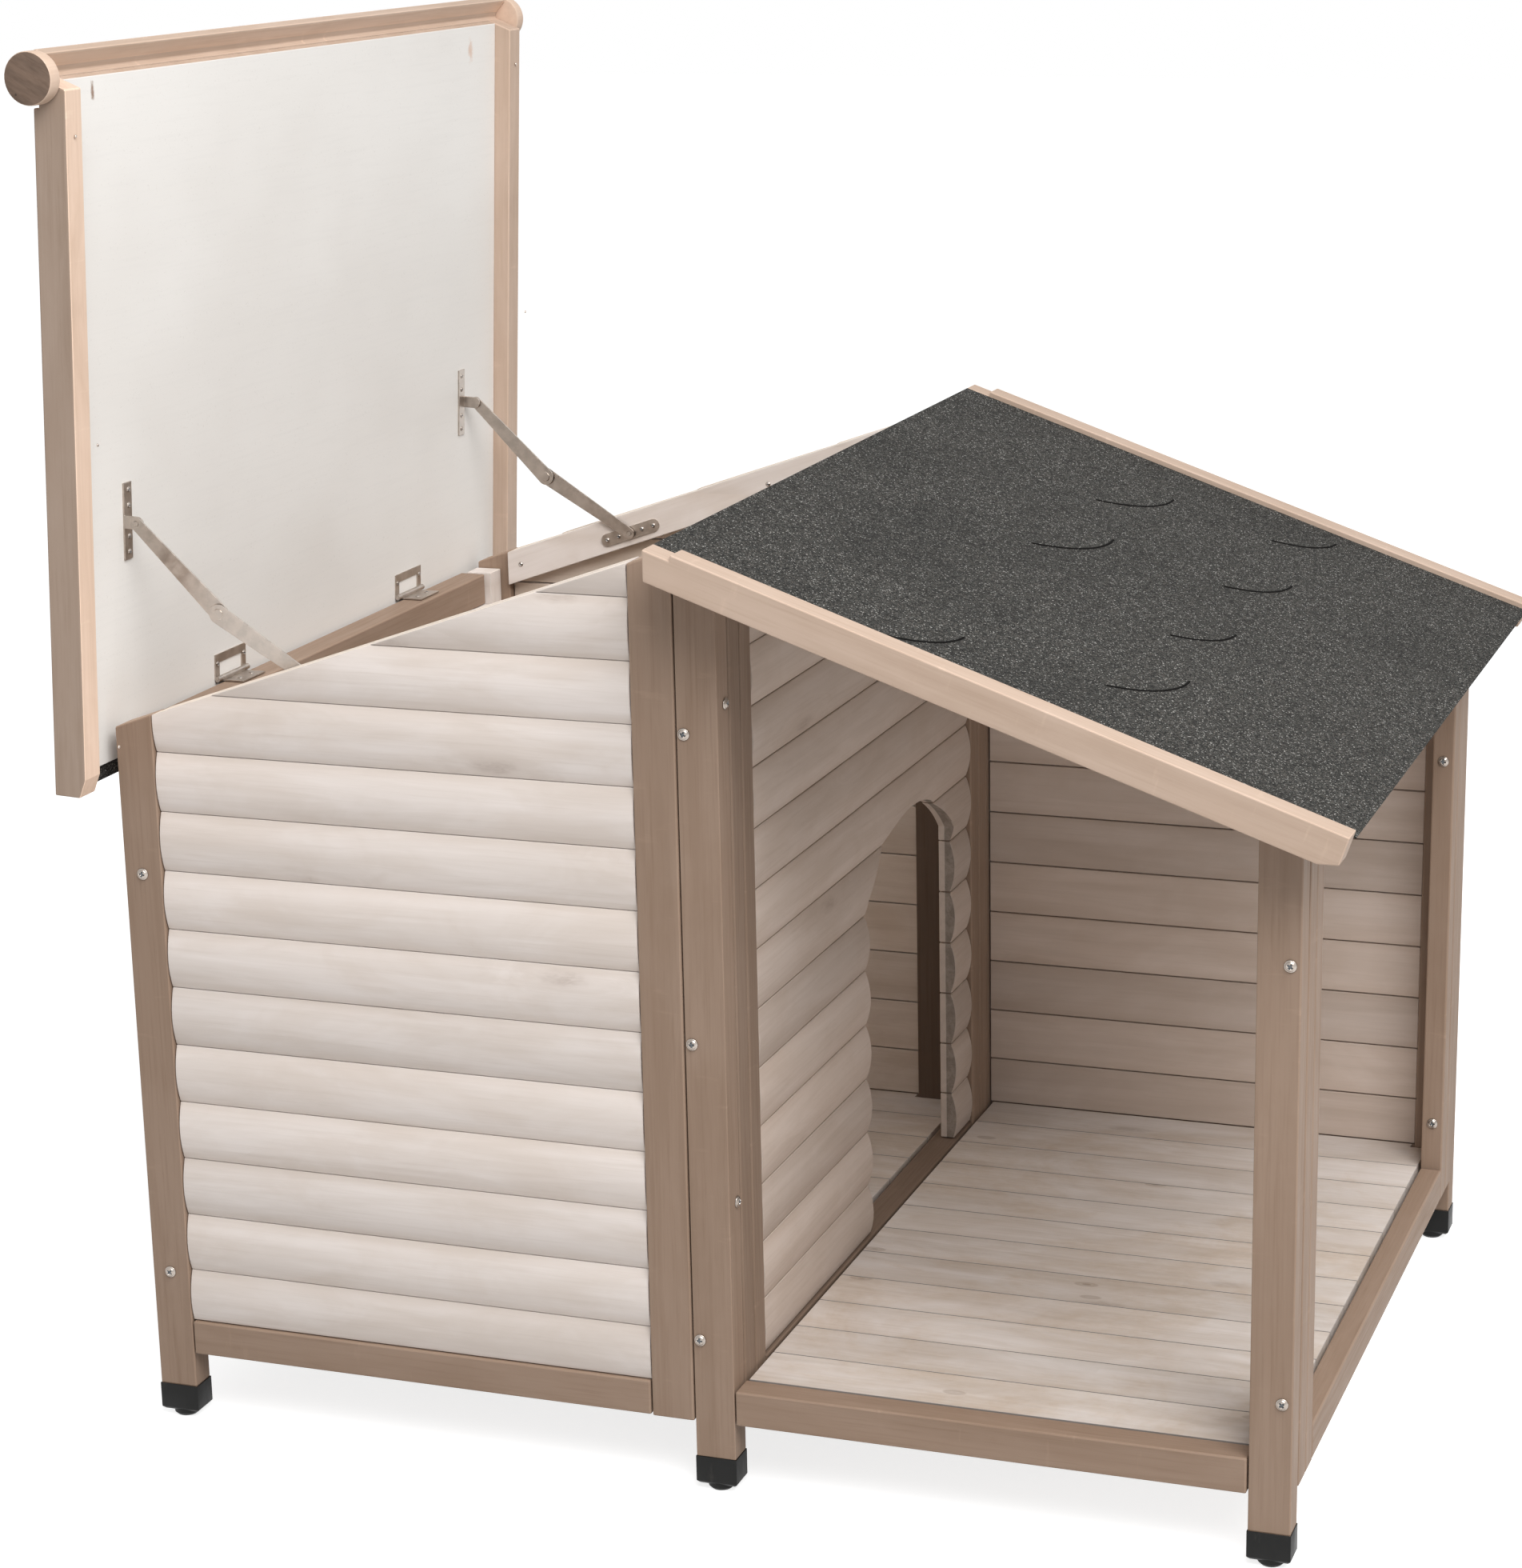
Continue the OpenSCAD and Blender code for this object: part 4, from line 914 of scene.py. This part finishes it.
class KENNEL_OT_felt_cuts(KennelOperator, bpy.types.Operator):
    """Press the curved cuts of the shingle pattern into the felt of both half roofs"""
    bl_idname = "kennel.felt_cuts"
    bl_label = "Felt cuts"

    # Ends of each cut: down the slope from the upper edge and across, then the same for its other end
    CUTS = (
        (0.2367, 0.2375, 0.2959, 0.3622), (0.2372, -0.0156, 0.2925, 0.113), (0.234, -0.4772, 0.2836, -0.3953),
        (0.4162, 0.3562, 0.4733, 0.446), (0.4205, 0.1064, 0.474, 0.2081), (0.4228, -0.134, 0.4715, -0.0465),
        (0.4191, -0.3646, 0.4742, -0.2533),
    )
    # Room kept to the felt's side edges, sag of a cut against its chord, and the steps it is drawn in
    ROOM, SAG, STEPS = 0.012, 0.13, 14
    # How far a cut's lip stands above the felt, and its edges below it
    LIP, SINK = 0.0009, 0.0003

    def execute(self, context):
        for node, slope, way in (("roof_felt", ROOF_PITCH, 1), ("lid_felt", LID_LEAN, -1)):
            down = Vector((math.cos(slope) * way, 0.0, -math.sin(slope)))
            up = Vector((math.sin(slope) * way, 0.0, math.cos(slope)))
            self.press(node, down, up)
        return {"FINISHED"}

    def press(self, node, down, up):
        """Sweeps a low lip of bitumen along each cut, its black partly painted shade under the shingles' edges."""
        corners = [v.co for v in frame["nodes"][node].data.vertices]
        edge = down * min(c.dot(down) for c in corners) + up * max(c.dot(up) for c in corners)
        across = Vector((0.0, 1.0, 0.0))
        low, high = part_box(node)
        bm = bmesh.new()
        for d0, y0, d1, y1 in self.CUTS:
            y0, y1 = max(y0, low.y + self.ROOM), min(y1, high.y - self.ROOM)
            self.arc(bm, edge + down * d0 + across * y0, edge + down * d1 + across * y1, down, up)
        bmesh.ops.remove_doubles(bm, verts=bm.verts, dist=1e-6)
        bmesh.ops.recalc_face_normals(bm, faces=bm.faces)
        for face in bm.faces:
            if face.normal.dot(up) < 0:
                face.normal_flip()
        make_piece(node + "_cuts", bm, [finish("cut_bitumen", cut_bitumen)], BODY_OF[node])

    def arc(self, bm, start, end, down, up):
        """One cut: an arc between two points that sags down the slope."""
        chord = end - start
        side = chord.cross(up).normalized()
        if side.dot(down) < 0:
            side = -side
        sag = chord.length * self.SAG
        radius = (chord.length ** 2 / 4 + sag ** 2) / (2 * sag)
        centre = (start + end) / 2 - side * (radius - sag)
        angle = 2 * math.asin(chord.length / 2 / radius)
        axis = up if (start - centre).cross(end - centre).dot(up) > 0 else -up
        out = (start - centre).normalized() * sizes().felt_cut / 2
        lip, sink = up * self.LIP, up * self.SINK
        section = [start - out - sink, start - out * 0.5 + lip, start + out * 0.5 + lip, start + out - sink]
        verts = [bm.verts.new(c) for c in section]
        edges = [bm.edges.new(verts[i:i + 2]) for i in range(3)]
        bmesh.ops.spin(bm, geom=verts + edges, cent=centre, axis=axis, angle=angle, steps=self.STEPS,
                       use_merge=False)


class KENNEL_OT_ridge(KennelOperator, bpy.types.Operator):
    """Dress the ridge log and its end discs"""
    bl_idname = "kennel.ridge"
    bl_label = "Ridge log"

    # Bound of the normal of the log's seat, and how far out the discs' outer faces lie
    SEAT_DOWN, OUTER = -0.5, 0.4
    # Rounding of the discs
    DISC_ARRIS = 0.0016

    def execute(self, context):
        c, s = colours(), sizes()
        # Painted light: the log's seat, the faces that look down, get a much lighter copy of the stain
        seat = barge_face(ALONG_Y, "ridge_seat")
        dress("ridge_log", barge_wood(ALONG_Y, "ridge") + [seat], s.arris,
              marks=[(3, lambda face: face.normal.x > FACING and face.normal.z < self.SEAT_DOWN)])
        ends = finish("end_grain", end_grain, c.end_grain)
        rim = finish("disc_rim", wood, shade(c.barge_stain, 1.3), ALONG_Y, fibre=0.25)
        bm = solid_of("ridge_discs")
        soften(bm, self.DISC_ARRIS, 3)
        for face in bm.faces:
            outward = face.normal.y * face.calc_center_median().y
            face.material_index = 0 if outward > self.OUTER else 1
        shade_by_angle(bm, 20)
        make_piece("ridge_discs_finished", bm, [ends, rim], BODY_OF["ridge_discs"],
                   ["ridge_discs"])
        return {"FINISHED"}


class KENNEL_OT_barge_nails(KennelOperator, bpy.types.Operator):
    """Drive the nails into the lower edges of the lid's barge boards"""
    bl_idname = "kennel.barge_nails"
    bl_label = "Barge nails"

    # How far up the lid from the hinge each nail is
    PLACES = {"lid_barge_front": (0.0015, 0.299, 0.59), "lid_barge_back": (0.007, 0.299, 0.593)}
    # Thickness of a head and how deep its middle lies, then its top and its rounding against its radius
    THICK, SINK = 0.0012, 0.0004
    TOP, ROUNDING = 0.8, 0.16

    def execute(self, context):
        radius = sizes().nail / 2
        bm = bmesh.new()
        hinge = Vector(HINGE["pos_m"])
        up = Vector((math.cos(LID_LEAN), 0.0, math.sin(LID_LEAN)))
        out = Vector((math.sin(LID_LEAN), 0.0, -math.cos(LID_LEAN)))
        for node, places in self.PLACES.items():
            low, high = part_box(node)
            for way in places:
                spot = hinge + up * way
                spot.y = (low.y + high.y) / 2
                spot += out * (high.x - spot.x - self.SINK)
                self.nail(bm, spot, out, radius)
        shade_by_angle(bm, 40)
        make_piece("barge_nails", bm, [bright_zinc()], BODY_OF["lid_barge_front"])
        return {"FINISHED"}

    def nail(self, bm, spot, out, radius):
        turn = out.to_track_quat("Z", "Y").to_matrix().to_4x4()
        made = bmesh.ops.create_cone(
            bm, cap_ends=True, segments=16, radius1=radius, radius2=radius * self.TOP, depth=self.THICK,
            matrix=Matrix.Translation(spot) @ turn)
        rim = {e for v in made["verts"] for e in v.link_edges}
        bevel(bm, list(rim), radius * self.ROUNDING, 2)


class KENNEL_OT_hardware(KennelOperator, bpy.types.Operator):
    """Dress the hinges and the folding stays"""
    bl_idname = "kennel.hardware"
    bl_label = "Hinges and stays"

    def execute(self, context):
        s = sizes()
        bright = bright_zinc()
        zinc = finish("zinc", plated, colours().zinc, 0.34)
        for node in ("hinge_wall_leaves", "hinge_lid_leaves", "stay_wall_brackets", "stay_lid_brackets",
                     "stay_front_upper_arm", "stay_front_lower_arm",
                     "stay_back_upper_arm", "stay_back_lower_arm"):
            dress(node, [zinc, bright], s.metal_arris, shortest=0.0003, angle=20)
        dress("hinge_pins", [bright, bright], s.metal_arris, shortest=0.0002, angle=25)
        return {"FINISHED"}


class KENNEL_OT_screws(KennelOperator, bpy.types.Operator):
    """Set the screws: large ones in the posts, small ones in the brackets, hinges and cleats"""
    bl_idname = "kennel.screws"
    bl_label = "Screws"

    # Rise of a head, and the steps it is drawn in
    LARGE = (0.0026, 26)
    SMALL = (0.0013, 16)

    def execute(self, context):
        s = sizes()
        set_screws("post_screws", s.post_screw / 2, *self.LARGE)
        for node in ("wall_small_screws", "lid_small_screws"):
            set_screws(node, s.small_screw / 2, *self.SMALL)
        return {"FINISHED"}


class KENNEL_OT_stage(KennelOperator, bpy.types.Operator):
    """Set the floor, the lights and the camera"""
    bl_idname = "kennel.stage"
    bl_label = "Stage"

    FLOOR_HALF, FLOOR_GREY, FLOOR_GLOW = 20.0, (0.6, 0.6, 0.6), 0.78
    LAMPS = {"key": (1.974, -2.72, 4.274), "fill": (3.165, -0.658, 4.33)}
    LAMP_AIM, LAMP_SIZE = Vector((0.0, -0.1, 0.5)), 3.0
    CAMERA_PLACE = (1.217069, -3.510038, 1.594608)
    CAMERA_TURN = (74.426826, 0.844047, 18.880728)
    CAMERA_SHIFT = (-0.054716, 0.032539)
    SENSOR, NEAR, FAR = 36.0, 0.05, 100.0

    def execute(self, context):
        scene, stage = context.scene, context.scene.kennel_stage
        scene.view_settings.view_transform = "Standard"
        self.floor(scene)
        self.sky(scene, stage.sky)
        for name, place in self.LAMPS.items():
            self.lamp(scene, name, Vector(place), getattr(stage, name))
        self.camera(scene, stage.lens)
        return {"FINISHED"}

    def floor(self, scene):
        """A wide grey floor that shows as white."""
        bm = bmesh.new()
        bmesh.ops.create_grid(bm, x_segments=1, y_segments=1, size=self.FLOOR_HALF)
        mesh = bpy.data.meshes.new("floor")
        bm.to_mesh(mesh)
        bm.free()
        floor = bpy.data.objects.new("floor", mesh)
        scene.collection.objects.link(floor)
        f = Finish("studio_floor")
        f.tree.nodes.remove(f.shader)
        matt = f.put("BsdfDiffuse", {"Color": self.FLOOR_GREY})
        glow = f.put("Emission", {"Color": WHITE, "Strength": f.times(f.seen(), self.FLOOR_GLOW)})
        both = f.put("AddShader", {0: matt.outputs[0], 1: glow.outputs[0]})
        f.feed(f.out.inputs["Surface"], both.outputs[0])
        mesh.materials.append(f.material)

    def sky(self, scene, strength):
        """Even light from all sides, which shows as white."""
        world = bpy.data.worlds.new("studio")
        scene.world = world
        world.use_nodes = True
        n = Nodes(world.node_tree)
        level = n.put("MapRange", {"Value": n.seen(), "To Min": strength, "To Max": 1.0})
        light = n.put("Background", {"Color": WHITE, "Strength": level.outputs[0]})
        n.put("OutputWorld", {"Surface": light.outputs[0]})

    def lamp(self, scene, name, place, power):
        """A square lamp above the kennel, turned to its middle."""
        data = bpy.data.lights.new(name, "AREA")
        data.shape, data.size, data.energy = "SQUARE", self.LAMP_SIZE, power
        lamp = bpy.data.objects.new(name, data)
        scene.collection.objects.link(lamp)
        lamp.location = place
        lamp.rotation_euler = (self.LAMP_AIM - place).to_track_quat("-Z", "Y").to_euler()

    def camera(self, scene, lens):
        data = bpy.data.cameras.new("photo_camera")
        data.lens, data.sensor_width, data.sensor_fit = lens, self.SENSOR, "AUTO"
        data.shift_x, data.shift_y = self.CAMERA_SHIFT
        data.clip_start, data.clip_end = self.NEAR, self.FAR
        data.dof.use_dof = False
        camera = bpy.data.objects.new("photo_camera", data)
        scene.collection.objects.link(camera)
        camera.location = self.CAMERA_PLACE
        camera.rotation_euler = Euler([math.radians(a) for a in self.CAMERA_TURN], "XYZ")
        scene.camera = camera


class KENNEL_PT_panel(bpy.types.Panel):
    """The kennel's pieces, colours and sizes"""
    bl_idname = "KENNEL_PT_panel"
    bl_label = "Kennel"
    bl_space_type = "VIEW_3D"
    bl_region_type = "UI"
    bl_category = "Kennel"

    def draw(self, context):
        for operator in OPERATORS:
            self.layout.operator(operator.bl_idname)
        for group in (context.scene.kennel_colours, context.scene.kennel_sizes, context.scene.kennel_stage):
            for key in group.__annotations__:
                self.layout.prop(group, key)


GROUPS = (KennelColours, KennelSizes, KennelStage)
OPERATORS = (
    KENNEL_OT_stage, KENNEL_OT_posts, KENNEL_OT_rails, KENNEL_OT_log_walls, KENNEL_OT_floors, KENNEL_OT_feet,
    KENNEL_OT_roofs, KENNEL_OT_felt_cuts, KENNEL_OT_ridge, KENNEL_OT_barge_nails, KENNEL_OT_hardware,
    KENNEL_OT_screws,
)


def register():
    for cls in (*GROUPS, *OPERATORS, KENNEL_PT_panel):
        bpy.utils.register_class(cls)
    bpy.types.Scene.kennel_colours = PointerProperty(type=KennelColours)
    bpy.types.Scene.kennel_sizes = PointerProperty(type=KennelSizes)
    bpy.types.Scene.kennel_stage = PointerProperty(type=KennelStage)


def unregister():
    del bpy.types.Scene.kennel_stage, bpy.types.Scene.kennel_sizes, bpy.types.Scene.kennel_colours
    for cls in reversed((*GROUPS, *OPERATORS, KENNEL_PT_panel)):
        bpy.utils.unregister_class(cls)


def main():
    register()
    bpy.ops.kennel.stage()
    bpy.ops.kennel.posts()
    bpy.ops.kennel.rails()
    bpy.ops.kennel.log_walls()
    bpy.ops.kennel.floors()
    bpy.ops.kennel.feet()
    bpy.ops.kennel.roofs()
    bpy.ops.kennel.felt_cuts()
    bpy.ops.kennel.ridge()
    bpy.ops.kennel.barge_nails()
    bpy.ops.kennel.hardware()
    bpy.ops.kennel.screws()


if __name__ == "__main__":
    main()
